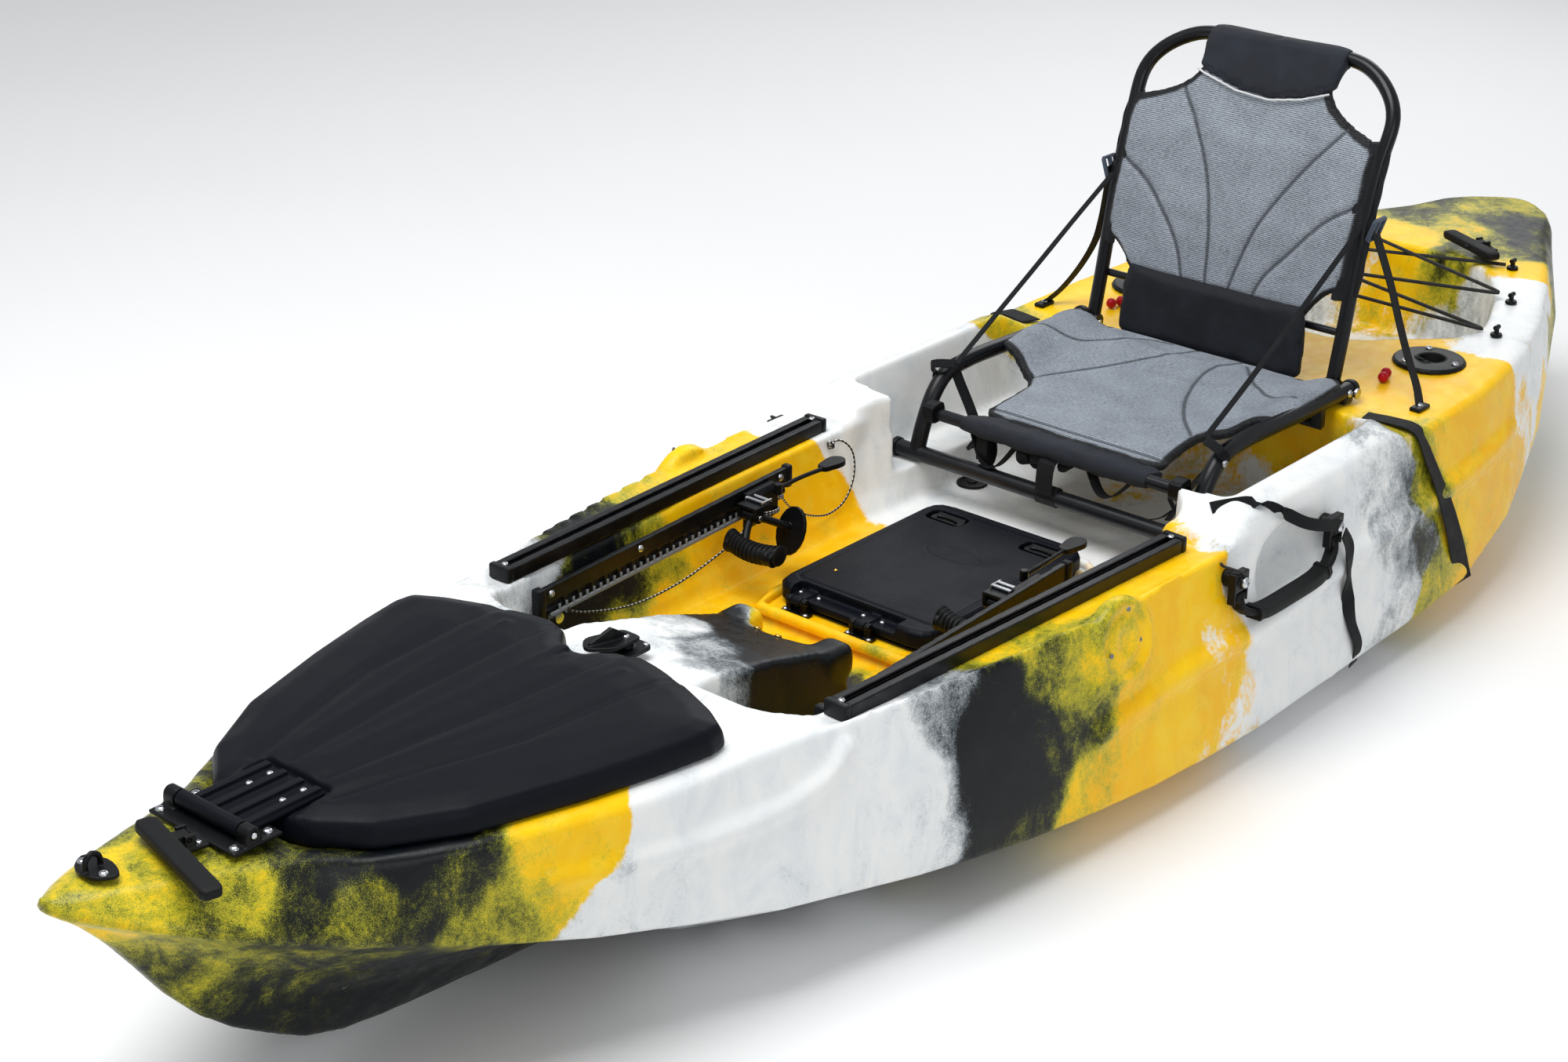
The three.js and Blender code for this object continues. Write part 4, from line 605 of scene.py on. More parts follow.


# Where each powder lies, judged from the photo: x, y, z, then how yellow and how black it is there.
PAINT = [
    (1.58, 0, .36, 1, .40), (1.50, .04, .36, 1, .38), (1.42, .09, .35, 1, .50),
    (1.36, .11, .35, 1, .80), (1.28, .16, .33, 1, .95), (1.20, .19, .32, 1, .80),
    (1.22, .17, .28, 1, .62), (1.12, .22, .32, 1, .12), (1.14, .20, .25, 1, .50),
    (1.07, .24, .31, 1, .05), (1.30, .13, .27, 1, .56), (1.45, .06, .30, 1, .50),
    (1.50, 0, .20, .9, .58), (1.40, .05, .14, .9, .70), (1.36, 0, .07, .9, .85),
    (1.20, .08, .10, .8, .9), (1.05, .14, .08, .8, .8), (1.00, .25, .20, .2, .15),
    (1.42, -.09, .35, 1, .55), (1.30, -.14, .33, 1, .70), (1.10, -.22, .32, 1, .8),
    (.98, .28, .29, 0, 0), (.88, .31, .24, 0, 0), (.74, .33, .27, 0, 0), (.62, .36, .27, 0, .02),
    (.90, .32, .15, 0, 0), (.64, .37, .14, 0, .12), (.76, .36, .18, 0, 0), (.55, .36, .29, .2, .55),
    (.50, .37, .22, .5, 1.1), (.46, .39, .15, .8, 1.1), (.44, .38, .27, .8, 1.0),
    (.42, .40, .09, .9, .7), (.37, .39, .20, 1, .75), (.36, .39, .30, 1, .55), (.30, .39, .31, 1, .42),
    (.30, .40, .22, 1, .52), (.32, .41, .11, 1, .18), (.24, .39, .27, 1, .30), (.22, .40, .17, 1, .05),
    (.15, .40, .26, 1, 0), (.10, .40, .30, 1, 0), (.12, .41, .16, 1, 0), (.16, .42, .07, 1, 0),
    (.04, .40, .28, .75, 0), (.03, .41, .17, .6, 0), (.00, .42, .10, .55, 0), (-.06, .39, .30, .12, 0),
    (-.12, .40, .23, 0, 0), (-.08, .42, .12, .2, 0), (-.25, .40, .20, 0, 0), (-.22, .42, .09, .1, 0),
    (-.33, .40, .28, 0, .06), (-.35, .42, .15, 0, .05), (-.41, .39, .29, 0, .32),
    (-.44, .41, .19, 0, .38), (-.45, .42, .08, .05, .30), (-.49, .40, .27, .1, .48),
    (-.51, .41, .17, .4, .62), (-.56, .40, .25, 1, .42), (-.55, .42, .10, 1, .35),
    (-.62, .40, .20, 1, .15), (-.66, .39, .30, 1, 0), (-.72, .41, .15, 1, 0), (-.80, .38, .28, .9, 0),
    (-.84, .40, .18, .6, 0), (-.92, .37, .24, .45, 0), (-1.0, .34, .29, .15, .02),
    (-1.05, .33, .22, .8, .1), (-1.12, .29, .30, .2, .1), (-1.2, .26, .28, .9, .45),
    (-1.3, .21, .31, 1, .65), (-1.42, .14, .34, 1, .7), (-1.55, .07, .35, 1, .5),
    (-1.35, .10, .2, 1, .5), (.70, .30, .32, 0, 0), (.40, .34, .32, .9, .3), (.05, .36, .32, .9, 0),
    (-.10, .36, .36, .1, 0), (-.30, .36, .36, 0, 0), (-.45, .36, .36, 0, .30),
    (-.52, .35, .34, .6, .35), (-.60, .34, .335, 1, .12), (-.70, .33, .335, 1, 0),
    (-.80, .33, .34, .9, 0), (-.92, .34, .345, .2, 0), (-1.05, .30, .35, 0, 0),
    (-1.18, .24, .355, .1, 0), (-1.26, .20, .36, 1, 0), (-1.33, .16, .36, 1, .7),
    (-1.45, .08, .365, 1, .75), (-1.28, .06, .365, 1, .55), (-1.36, .02, .365, 1, .30),
    (-1.27, -.05, .365, 1, .0), (-1.40, -.08, .365, 1, .6), (-1.53, 0, .365, 1, .40),
    (-1.20, -.12, .36, .6, 0), (-1.15, -.22, .355, .9, .35), (-1.0, -.30, .35, 1, .55),
    (-.85, -.33, .34, 1, .2), (-.65, -.33, .335, 1, 0), (-.66, 0, .335, 1, 0), (-.60, .2, .335, 1, 0),
    (-.60, -.25, .335, 1, 0), (-.76, .18, .34, 1, 0), (-.78, -.1, .34, .8, 0), (-.88, .12, .24, .7, .4),
    (-1.0, .0, .21, .3, .3), (-1.0, .20, .30, .5, .4), (-1.15, .1, .28, .2, .2),
    (-1.1, -.15, .28, .3, .2), (-.9, -.2, .28, .8, .4), (-.45, 0, .18, .4, .1), (-.30, .15, .18, 0, 0),
    (-.30, -.15, .18, 0, 0), (-.15, 0, .18, 0, 0), (-.12, -.22, .20, 0, 0), (-.20, .28, .24, 0, .0),
    (-.20, -.28, .24, 0, 0), (-.40, .28, .25, .7, .35), (-.40, -.28, .25, 0, 0),
    (-.10, -.30, .33, 0, 0), (-.35, -.33, .35, 0, 0), (-.48, -.34, .35, .8, .4), (0, -.29, .31, 0, 0),
    (-.02, -.24, .24, .3, 0), (.06, -.24, .22, .9, 0), (.10, -.20, .18, .7, 0), (.12, -.28, .30, .9, 0),
    (.22, -.27, .29, 1, 0), (.34, -.27, .30, 1, .05), (.42, -.27, .28, 1, .45),
    (.52, -.26, .27, 1, .85), (.62, -.24, .26, .8, .9), (.70, -.22, .28, .1, .2),
    (.66, -.30, .31, .1, .1), (.50, -.33, .31, 1, .7), (.38, -.34, .31, 1, .3), (.20, -.35, .31, 1, .1),
    (.05, -.35, .31, .2, 0), (.18, -.20, .18, 1, 0), (.30, -.18, .18, 1, 0), (.42, -.18, .18, 1, 0),
    (.54, -.19, .18, 1, .30), (.66, -.17, .18, 1, .6), (.36, 0, .18, 1, 0), (.34, .16, .18, 1, 0),
    (.20, .17, .18, 1, 0), (.05, .18, .18, .6, 0), (-.08, 0, .19, .1, 0), (.52, .19, .18, 1, .45),
    (.62, .2, .22, .9, .7), (.66, .25, .28, .1, .3), (.45, .26, .28, 1, .2), (.25, .27, .28, 1, 0),
    (.0, .28, .28, .5, 0), (.46, 0, .22, 1, .1), (.46, .08, .25, .6, 1.1), (.56, .10, .26, .3, 1.3),
    (.53, 0, .285, .2, 1.1), (.50, -.07, .26, .2, 1.0), (.60, -.08, .28, 0, .25),
    (.62, .02, .30, 0, .5), (.66, .1, .28, 0, .45), (.50, .05, .27, .3, 1.2), (.58, .12, .22, .4, 1.3),
    (.60, .12, .22, .8, 1.0), (.72, 0, .33, 0, 0), (.70, -.1, .32, 0, 0), (.74, .15, .33, 0, .05),
    (.78, .25, .33, 0, 0), (.78, -.25, .33, .1, .1), (.9, -.32, .22, 0, .1), (.7, -.36, .2, 0, 0),
    (.55, -.38, .25, .6, .9), (.42, -.39, .15, 1, .6), (.25, -.4, .25, 1, .1), (.05, -.41, .2, .8, 0),
    (-.15, -.41, .25, 0, 0), (-.35, -.41, .18, 0, .1), (-.5, -.41, .25, .3, .8),
    (-.65, -.41, .2, 1, .1), (-.85, -.39, .25, .8, 0), (-1.05, -.33, .25, .2, .1),
    (-1.25, -.23, .3, 1, .5), (-1.45, -.12, .33, 1, .7), (.6, .1, .02, .2, .5), (.2, -.1, .01, 1, .2),
    (-.3, .1, .01, 0, .1), (-.8, 0, .01, 1, .2),
]


def painted(mesh):
    """Gives the hull's points the share of yellow and black powder, from the nearest places in PAINT."""
    co = coords_of(mesh)
    wobble = np.stack([
        np.sin(co[:, 1] * 23 + co[:, 2] * 31) * 0.018 + np.sin(co[:, 2] * 61 + 1.3) * 0.008,
        np.sin(co[:, 0] * 17 + 0.7) * 0.014,
        np.sin(co[:, 0] * 27 + co[:, 1] * 11) * 0.014 + np.sin(co[:, 0] * 71) * 0.006], axis=1)
    co = co + wobble
    table = np.array(PAINT)
    sums = np.zeros((len(co), 3))
    for x, y, z, yellow, black in table:
        d = (co - (x, y, z)) * (1.0, 1.25, 1.1)
        weight = 1 / (np.sum(d * d, axis=1) + 2e-4) ** 3
        sums += np.stack([weight * yellow, weight * black, weight], axis=1)
    attribute(mesh, "paint_yellow", sums[:, 0] / sums[:, 2])
    attribute(mesh, "paint_black", sums[:, 1] / sums[:, 2])


def tree_of(mesh):
    work = bmesh.new()
    work.from_mesh(mesh)
    tree = BVHTree.FromBMesh(work)
    work.free()
    return tree


def rod_tube(side):
    """The middle of a rod tube's mouth and the tube's upward axis."""
    axis = np.array((-.36, .14 * side, .92)) / math.sqrt(.36 ** 2 + .14 ** 2 + .92 ** 2)
    return np.array((-.780, .264 * side, .338)), axis


def flank_bead(shape, line, side, radius, sink):
    """A raised line on the flank, through points [x, z], standing out by radius less sink."""
    points = []
    for x, z in line:
        spot, normal = on_flank(x, z, side)
        points.append(spot - normal * sink)
    shape.tube(points, radius, 12, 0.01)


def make_hull():
    """The hull's painted skin, from the CAD hull and the raised forms that the moulding has."""
    global hull_tree
    source = welded("hull")
    hull_tree = tree_of(source)
    extra = Shape()
    for side in (1, -1):
        swage = [(.30, .168), (.118, .188), (-.10, .200), (-.30, .211), (-.504, .222), (-.75, .236),
                 (-.98, .262)]
        flank_bead(extra, swage, side, 0.022, 0.011)
        nose = [(1.12, .262), (1.0, .252), (.88, .249), (.79, .256), (.735, .272), (.705, .298)]
        flank_bead(extra, nose, side, 0.018, 0.008)
        spot, normal = on_flank(.236, .277, side)
        rim = [(.060, -.012), (.060, .006), (.056, .014), (.048, .014), (.044, .007), (.030, .007),
               (.027, .013), (.020, .013), (.016, .008), (.001, .008)]
        extra.lathe(rim, spot, normal, 32)
        low = [(.30, .235), (.255, .215), (.20, .22)]
        flank_bead(extra, low, side, 0.018, 0.012)
        # The pillars between the gear track and the seat, and the feet of the console.
        extra.block((-.040, .300 * side, .285), (.052, .052, .085), 0.012)
        extra.block((.452, .078 * side, .225), (.060, .050, .050), 0.012)
    both = bmesh.new()
    both.from_mesh(source)
    both.from_mesh(extra.mesh("hull_extra"))
    both.to_mesh(source)
    both.free()
    mesh = rounded_mesh(source, 0.0050, 8, "hull_skin")
    co = coords_of(mesh)
    for side in (1, -1):
        mouth, axis = rod_tube(side)
        away = co - mouth
        depth = away @ axis
        away -= depth[:, None] * axis
        r = np.linalg.norm(away, axis=1)
        inside = (r < .029) & (depth > -.185) & (depth < .02)
        co[inside] += away[inside] * (.029 / np.maximum(r[inside], .001) - 1)[:, None]
    set_coords(mesh, co)
    painted(mesh)
    place("hull_skin", mesh, HULL, "boat", "hull_plastic", ["hull"])
    hull_tree = tree_of(mesh)


# ---- moulded fittings ----------------------------------------------------------------------------
FITTINGS = [
    ("bow_hatch_hinge_base", 0.0014, 2, BLACK, "black_plastic"),
    ("bow_hatch_hinge_leaf", 0.0014, 2, LID, "lid_plastic"),
    ("bow_hatch_hinge_pin", 0.0010, 1, STEEL, "steel"),
    ("bow_hatch_latch_base", 0.0010, 2, BLACK, "black_plastic"),
    ("bow_hatch_latch", 0.0010, 3, BLACK, "black_plastic"),
    ("bow_padeye", 0.0009, 2, BLACK, "black_plastic"),
    ("bow_handle_bracket", 0.0010, 2, BLACK, "black_plastic"),
    ("bow_handle_grip", 0.0012, 3, RUBBER, "rubber"),
    ("stern_handle_bracket", 0.0010, 2, BLACK, "black_plastic"),
    ("stern_handle_grip", 0.0012, 3, RUBBER, "rubber"),
    ("drive_well_bucket", 0.0024, 2, BLACK, "black_plastic"),
    ("drive_well_hinge_1", 0.0009, 2, BLACK, "black_plastic"),
    ("drive_well_hinge_2", 0.0009, 2, BLACK, "black_plastic"),
]
PAIRED_FITTINGS = [
    ("gear_track", 0.0014, 1, RAIL, "anodised_rail"),
    ("foot_rail", 0.0012, 1, RAIL, "anodised_rail"),
    ("foot_carriage", 0.0011, 3, BLACK, "black_plastic"),
    ("foot_pedal", 0.0011, 3, BLACK, "black_plastic"),
    ("foot_pedal_pin", 0.0009, 1, STEEL, "steel"),
    ("foot_lever", 0.0009, 3, BLACK, "black_plastic"),
    ("pan_clamp", 0.0009, 2, BLACK, "black_plastic"),
    ("backrest_pivot_bolt", 0.0009, 1, STEEL, "steel"),
    ("rod_holder", 0.0018, 2, BLACK, "black_plastic"),
    ("side_handle", 0.0016, 4, RUBBER, "rubber"),
    ("side_handle_front_bolt", 0.0011, 3, BLACK, "black_plastic"),
    ("side_handle_rear_bolt", 0.0011, 3, BLACK, "black_plastic"),
    ("deck_hook_1", 0.0009, 2, BLACK, "black_plastic"),
    ("deck_hook_2", 0.0009, 2, BLACK, "black_plastic"),
    ("deck_hook_3", 0.0009, 2, BLACK, "black_plastic"),
]


def make_fittings():
    for node, voxel, rounds, material, slot in FITTINGS:
        moulded(node, voxel, rounds, material, slot)
    for node, voxel, rounds, material, slot in PAIRED_FITTINGS:
        for side in SIDES:
            moulded(f"{node}_{side}", voxel, rounds, material, slot)


def make_rod_liners():
    """The black inside of each rod tube: level with the flange at its mouth, closed far down."""
    for name, side in SIDES.items():
        mouth, axis = rod_tube(side)
        a = np.cross(axis, (0, 1, 0))
        a /= np.linalg.norm(a)
        b = np.cross(axis, a)
        rows = []
        for r, depth in ((.0219, None), (.0219, .110), (.001, .111), (.001, .109), (.0205, .108),
                         (.0205, None), (.0219, None)):
            ring = []
            for t in np.arange(32) * math.pi / 16:
                out = r * (math.cos(t) * a + math.sin(t) * b)
                down = depth if depth else (out[2] - .0105) / axis[2]
                ring.append(mouth + out - axis * down)
            rows.append(ring)
        liner = Shape()
        liner.grid(rows, wrap=True)
        liner.piece(f"rod_liner_{name}", RUBBER, "boat", "black_plastic")


def make_bow_lid():
    """The bow lid, with four creases that draw together forwards, and the screws round it."""
    lid = moulded("bow_hatch_lid", 0.0030, 14, LID, "lid_plastic")
    co, normals = coords_of(lid.data), normals_of(lid.data)
    top = np.clip((normals[:, 2] - 0.5) * 3, 0, 1)
    carved = np.zeros(len(co))
    for line in ([(0.80, 0.148), (1.05, 0.128), (1.27, 0.066)],
                 [(0.80, -0.148), (1.05, -0.128), (1.27, -0.066)],
                 [(0.80, 0.060), (1.05, 0.050), (1.25, 0.030)],
                 [(0.80, -0.060), (1.05, -0.050), (1.25, -0.030)]):
        d = distance_to_line(co[:, :2], line)
        carved += 0.0040 * np.exp(-(d / 0.0090) ** 2)
    co -= normals * (carved * top)[:, None]
    set_coords(lid.data, co)
    for x, y in ((1.281, 0.028), (1.281, -0.028), (1.31, 0.028), (1.31, -0.028)):
        screw("bow_hatch", (x, y, 0.3672), UP, 0.0045)
    for x, y in ((1.403, 0.062), (1.403, -0.062), (1.357, 0.060), (1.357, -0.060)):
        screw("boat", (x, y, 0.3618), UP, 0.006)
    for y in (0.018, -0.018):
        screw("boat", (1.535, y, 0.3738), UP, 0.0055)
    for x, y in ((0.733, -0.013), (0.733, 0.020)):
        screw("boat", (x, y, 0.3358), UP, 0.0042)
    screw("bow_latch", (0.752, 0.004, 0.3484), UP, 0.0048)
    screw("boat", (1.424, 0.030, 0.3666), UP, 0.0038)


def make_drive_well_cover():
    """The cover with its pressed outline, its latches and screws, and the raised rim round it."""
    lid = moulded("drive_well_lid", 0.0020, 2, LID, "lid_plastic")
    co, normals = coords_of(lid.data), normals_of(lid.data)
    rim = [(-.040, -.113), (-.032, -.121), (.277, -.121), (.283, -.113), (.283, .113), (.277, .121),
           (-.032, .121), (-.040, .113), (-.040, -.113)]
    oval = [(.085 + .020 * math.cos(t), .046 * math.sin(t)) for t in np.linspace(0, 2 * math.pi, 49)]
    top = np.clip((normals[:, 2] - 0.6) * 4, 0, 1) * (co[:, 2] > 0.224)
    carved = 0.0016 * np.exp(-(distance_to_line(co[:, :2], rim) / 0.0028) ** 2)
    carved += 0.0006 * np.exp(-(distance_to_line(co[:, :2], oval) / 0.0016) ** 2)
    co -= normals * (carved * top)[:, None]
    set_coords(lid.data, co)
    for i, y in ((1, -0.084), (2, 0.084)):
        moulded(f"drive_well_latch_{i}", 0.0009, 2, BLACK, "black_plastic")
        grip = Shape()
        arc = [(-0.010 - 0.004 * math.sin(t), y + 0.017 * math.cos(t), 0.2262)
               for t in np.linspace(0, math.pi, 9)]
        grip.tube(arc, 0.0022, 10, 0.003)
        grip.piece(f"drive_well_thumb_{i}", BLACK, body_of(f"drive_well_latch_{i}"), "black_plastic")
    for y in (-0.084, 0.028):
        for d in (-0.018, 0.018):
            screw("boat", (0.328, y + d, 0.1996), UP, 0.0042)
            screw("drive_well_cover", (0.297, y + d * 0.9, 0.2138), UP, 0.0042)
    insert = Shape().lathe([(0.003, 0), (0.003, 0.0012), (0.0022, 0.0016), (0.001, 0.0006)],
                           (0.235, -0.09, 0.2276), UP, 16)
    insert.piece("drive_well_insert", GOLD, "drive_well_cover", "steel")
    rim = Shape()
    base = on_hull((-0.066, 0.0, 0.4), (0, 0, -1))[0][2]
    line = [(-.068, -.125), (-.068, .125), (-.052, .147), (.295, .147), (.345, .135), (.345, -.135),
            (.295, -.147), (-.052, -.147), (-.068, -.125)]
    rim.tube([(x, y, base + 0.002) for x, y in line], 0.009, 12, 0.01, False)
    mesh = rounded_mesh(rim.mesh("pod_rim"), 0.003, 4, "pod_rim")
    painted(mesh)
    place("pod_rim", mesh, HULL, "boat", "hull_plastic")


def rail_z(x):
    """Height of the middle of a foot brace rail, which runs down forwards."""
    return 0.305 - (x - 0.165) / 0.49 * 0.021


def make_screws():
    """Adds the screws of the paired fittings to those noted so far, and makes a piece for each body."""
    for side in (1, -1):
        for angle in (90, 210, 330):
            t = math.radians(angle)
            x, y = -0.780 + 0.044 * math.cos(t), 0.264 + 0.044 * math.sin(t)
            screw("boat", (x, side * y, 0.3492), UP, 0.006)
        for x in (-0.008, -0.255):
            screw("boat", (x, side * 0.4196, 0.284), (0, side, 0), 0.0078)
        screw("boat", (-0.143, side * 0.2305, 0.316), (0, side, 0), 0.006)
        for x, y, z in ((-0.200, 0.2585, 0.352), (-0.545, 0.2585, 0.356)):
            screw("boat", (x, side * y, z), (0, side, 0), 0.006)
        for x in (0.18, 0.47, 0.64):
            screw("boat", (x, side * 0.2402, rail_z(x) + 0.004), (0, -side, 0), 0.0055)
        for x in (0.021, 0.678):
            y = 0.317 - (x - 0.01) / 0.678 * 0.031
            screw("boat", (x, side * y, 0.3304), UP, 0.0048)
    for body, shape in SCREWS.items():
        shape.piece(f"screws_{body}", STEEL, body, "steel", angle=30)


def make_rail_ends():
    """The end caps of the tracks and rails, the rails' raised ticks and the steel roller of each cord."""
    for name, side in SIDES.items():
        caps = Shape()
        for x, y in ((0.0125, 0.3168), (0.6855, 0.2862)):
            caps.block((x, side * y, 0.3208), (0.011, 0.036, 0.0225), 0.0028,
                       Matrix.Rotation(-0.046 * side, 3, "Z"))
        caps.block((0.661, side * 0.2425, 0.276), (0.014, 0.016, 0.052), 0.003)
        caps.block((0.160, side * 0.2455, 0.304), (0.012, 0.014, 0.034), 0.003)
        caps.piece(f"track_ends_{name}", BLACK, "boat", "black_plastic")
        bar = Shape()
        bar.block((0.41, side * 0.2385, 0.2692), (0.47, 0.004, 0.006), 0.0014,
                  Matrix.Rotation(math.atan2(0.021, 0.49), 3, "Y"))
        x = 0.25
        while x < 0.63:
            bar.block((x, side * 0.2384, rail_z(x) - 0.0210), (0.0035, 0.003, 0.012), 0.0009)
            x += 0.013
        bar.piece(f"foot_rail_ticks_{name}", GREY, "boat", "black_plastic")
        roller = Shape()
        roller.lathe([(0.003, -0.007), (0.0075, -0.0065), (0.0058, -0.002), (0.0058, 0.002),
                      (0.0075, 0.0065), (0.003, 0.007)], (0.634, side * 0.238, 0.2535), (0, 1, 0), 20)
        roller.block((0.634, side * 0.2475, 0.262), (0.012, 0.0025, 0.030), 0.001)
        roller.piece(f"foot_rope_roller_{name}", STEEL, "boat", "steel")


def make_foot_ropes():
    """Each foot brace's cord: behind its slider and in front of it, in millimetres on the port side."""
    rear = [(20, 282, 300), (8, 274, 304), (-8, 266, 290), (-14, 262, 268), (-4, 256, 240), (20, 252, 216),
            (58, 249, 209), (108, 244, 224), (160, 238, 256), (186, 233, 281), (202.4, 231, 290)]
    front = [(264, 231.5, 262), (276, 233, 251), (300, 236, 240), (342, 237, 229), (396, 237, 220),
             (458, 237, 217.5), (504, 238, 221), (567, 240, 236), (598, 243, 247), (612, 245, 257.5)]
    for name, side in SIDES.items():
        for where, line in (("rear", rear), ("front", front)):
            node = f"foot_rope_{where}_{name}"
            points = [(x / 1000, side * y / 1000, z / 1000) for x, y, z in line]
            path = smooth_path(points, 0.004)
            braid = Shape().tube(path, 0.0015, 10, curved=False)
            piece = braid.piece(node + "_braid", ROPE, None, "webbing", [node])
            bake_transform(piece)
        knots = Shape()
        for x, y, z in ((0.612, 0.2445, 0.2575), (0.022, 0.281, 0.2995)):
            t = np.linspace(0, 6 * math.pi, 48)
            coil = np.stack([x + 0.0042 * np.cos(t), side * (y - 0.003) + 0.0042 * np.sin(t),
                             z + (t / t[-1] - 0.5) * 0.0075], axis=1)
            knots.tube(coil, 0.0015, 8, curved=False)
        knots.piece(f"foot_rope_knots_{name}", ROPE, "boat", "webbing")
        loop = Shape()
        for lift in (0, 0.0034):
            t = np.linspace(0, 2 * math.pi, 40)
            coil = np.stack([0.233 + 0.033 * np.cos(t), side * (0.2285 + 0.0135 * np.sin(t)),
                             0.2755 + lift + 0.006 * np.cos(t)], axis=1)
            loop.tube(coil[:-1], 0.0015, 8, curved=False)
        loop.piece(f"foot_rope_turns_{name}", ROPE, f"foot_slider_{name}", "webbing")


def make_bungee():
    """The elastic that zigzags over the tank well, from hook to hook."""
    hooks = [(-0.928, 0.300, 0.3587), (-1.074, 0.250, 0.3633), (-1.222, 0.176, 0.3675)]
    route = [(2, 1), (1, -1), (0, 1), (0, -1), (1, 1), (2, -1)]
    points = []
    for i, (hook, side) in enumerate(route):
        x, y, z = hooks[hook]
        points.append((x, side * (y - 0.013), z + (0.0075 if i > 2 else 0.0)))
    path = []
    for a, b in zip(points, points[1:]):
        a, b = np.array(a), np.array(b)
        path += [a + (b - a) * t for t in np.linspace(0, 1, 40, endpoint=False)]
    path = np.array([*path, points[-1]])
    for _ in range(3):
        path[1:-1] = path[1:-1] * 0.5 + (path[:-2] + path[2:]) * 0.25
    shape = Shape().tube(path, 0.003, 12, curved=False)
    piece = shape.piece("tank_bungee_cord", ELASTIC, "boat", "webbing", ["tank_bungee"])


# ---- seat ----------------------------------------------------------------------------------------
# The backrest in side view, [x, z]: the middle of its fabric, and the tubes of its hoop.
BACK_ROWS = np.array([(-.556, .340), (-.556, .362), (-.564, .445), (-.568, .470), (-.586, .560),
                      (-.622, .680), (-.646, .728), (-.660, .760), (-.684, .796)])
HOOP = [(-.561, .353), (-.580, .440), (-.604, .560), (-.638, .676), (-.668, .746)]


def back_x(z):
    """Where the backrest fabric's middle lies at a height."""
    return np.interp(z, BACK_ROWS[:, 1], BACK_ROWS[:, 0]) - 0.003


def make_seat_tubes():
    """The base frame, the pan's front bar, the backrest's hoop and the plugs in the tubes' ends."""
    base = Shape()
    base.tube([(-.145, -.290, .245), (-.145, .290, .245)], 0.0125, 28, curved=False)
    base.tube([(-.480, -.252, .323), (-.480, .252, .323)], 0.007, 20, curved=False)
    for side in (1, -1):
        base.tube([(-.145, .246 * side, .247), (-.158, .246 * side, .285), (-.182, .246 * side, .330),
                   (-.212, .246 * side, .355), (-.262, .246 * side, .362), (-.420, .246 * side, .358),
                   (-.575, .246 * side, .355)], 0.0125, 28)
        base.block((-.480, .246 * side, .335), (.016, .016, .034), 0.003)
        base.block((-.546, .246 * side, .346), (.024, .026, .014), 0.004)
    base.piece("seat_base_tubes", TUBE, "boat", "seat_tube", ["seat_base_frame"])
    bar = Shape().tube([(-.152, -.208, .314), (-.152, .208, .314)], 0.0095, 24, curved=False)
    bar.piece("pan_front_tube", TUBE, "boat", "seat_tube", ["pan_front_bar"])
    hoop = [(x, 0.219, z) for x, z in HOOP] + [(-.684, .198, .778), (-.702, .150, .805), (-.708, .080, .812)]
    hoop += [(x, -y, z) for x, y, z in reversed(hoop)]
    back = Shape().tube(hoop, 0.011, 28, 0.01)
    back.tube([(-.586, -.219, .430), (-.586, .219, .430)], 0.006, 18, curved=False)
    for side in (1, -1):
        back.lathe([(0.005, -.012), (0.0125, -.0118), (0.0132, -.010), (0.0132, .010), (0.0125, .0118),
                    (0.005, .012)], (-.561, .219 * side, .353), (0, 1, 0), 24)
    back.piece("backrest_tubes", TUBE, "backrest", "seat_tube", ["backrest_frame"])
    plugs = Shape()
    for side in (1, -1):
        plugs.lathe([(0.0115, -.004), (0.0145, -.003), (0.015, .004), (0.012, .0075), (0.002, .009)],
                    (-.145, .283 * side, .245), (0, side, 0), 24)
        plugs.lathe([(0.0115, -.004), (0.0142, -.003), (0.0142, .004), (0.011, .007), (0.002, .008)],
                    (-.566, .246 * side, .3552), (-1, 0, -0.02), 24)
    plugs.piece("seat_tube_plugs", BLACK, "boat", "black_plastic")


def inflated(mesh, name, voxel=0.005, pressure=4.0, cap=0.008):
    """A stuffed form blown up as cloth by air pressure, no point moving more than cap, then made finer."""
    mesh = rounded_mesh(mesh, voxel, 2, name)
    work = bpy.data.objects.new(name + "_cloth", mesh)
    bpy.context.scene.collection.objects.link(work)
    start = coords_of(mesh)
    cloth = work.modifiers.new("cloth", "CLOTH")
    settings = cloth.settings
    settings.quality, settings.mass = 6, 0.25
    settings.tension_stiffness = settings.compression_stiffness = 12
    settings.shear_stiffness, settings.bending_stiffness = 4, 0.4
    settings.use_pressure, settings.uniform_pressure_force = True, pressure
    settings.effector_weights.gravity = 0
    cloth.point_cache.frame_start, cloth.point_cache.frame_end = 1, 20
    scene = bpy.context.scene
    for number in range(1, 21):
        scene.frame_set(number)
    blown = applied(work)
    end = coords_of(blown)
    bpy.data.meshes.remove(blown)
    scene.frame_set(1)
    move = end - start
    move -= move.mean(axis=0)
    size = np.linalg.norm(move, axis=1)
    move *= np.minimum(1, cap / np.maximum(size, 1e-9))[:, None]
    set_coords(mesh, start + move)
    finer = work.modifiers.new("finer", "SUBSURF")
    finer.levels = finer.render_levels = 1
    out = applied(work)
    bpy.data.objects.remove(work)
    out.name = name
    out.polygons.foreach_set("use_smooth", [True] * len(out.polygons))
    return out


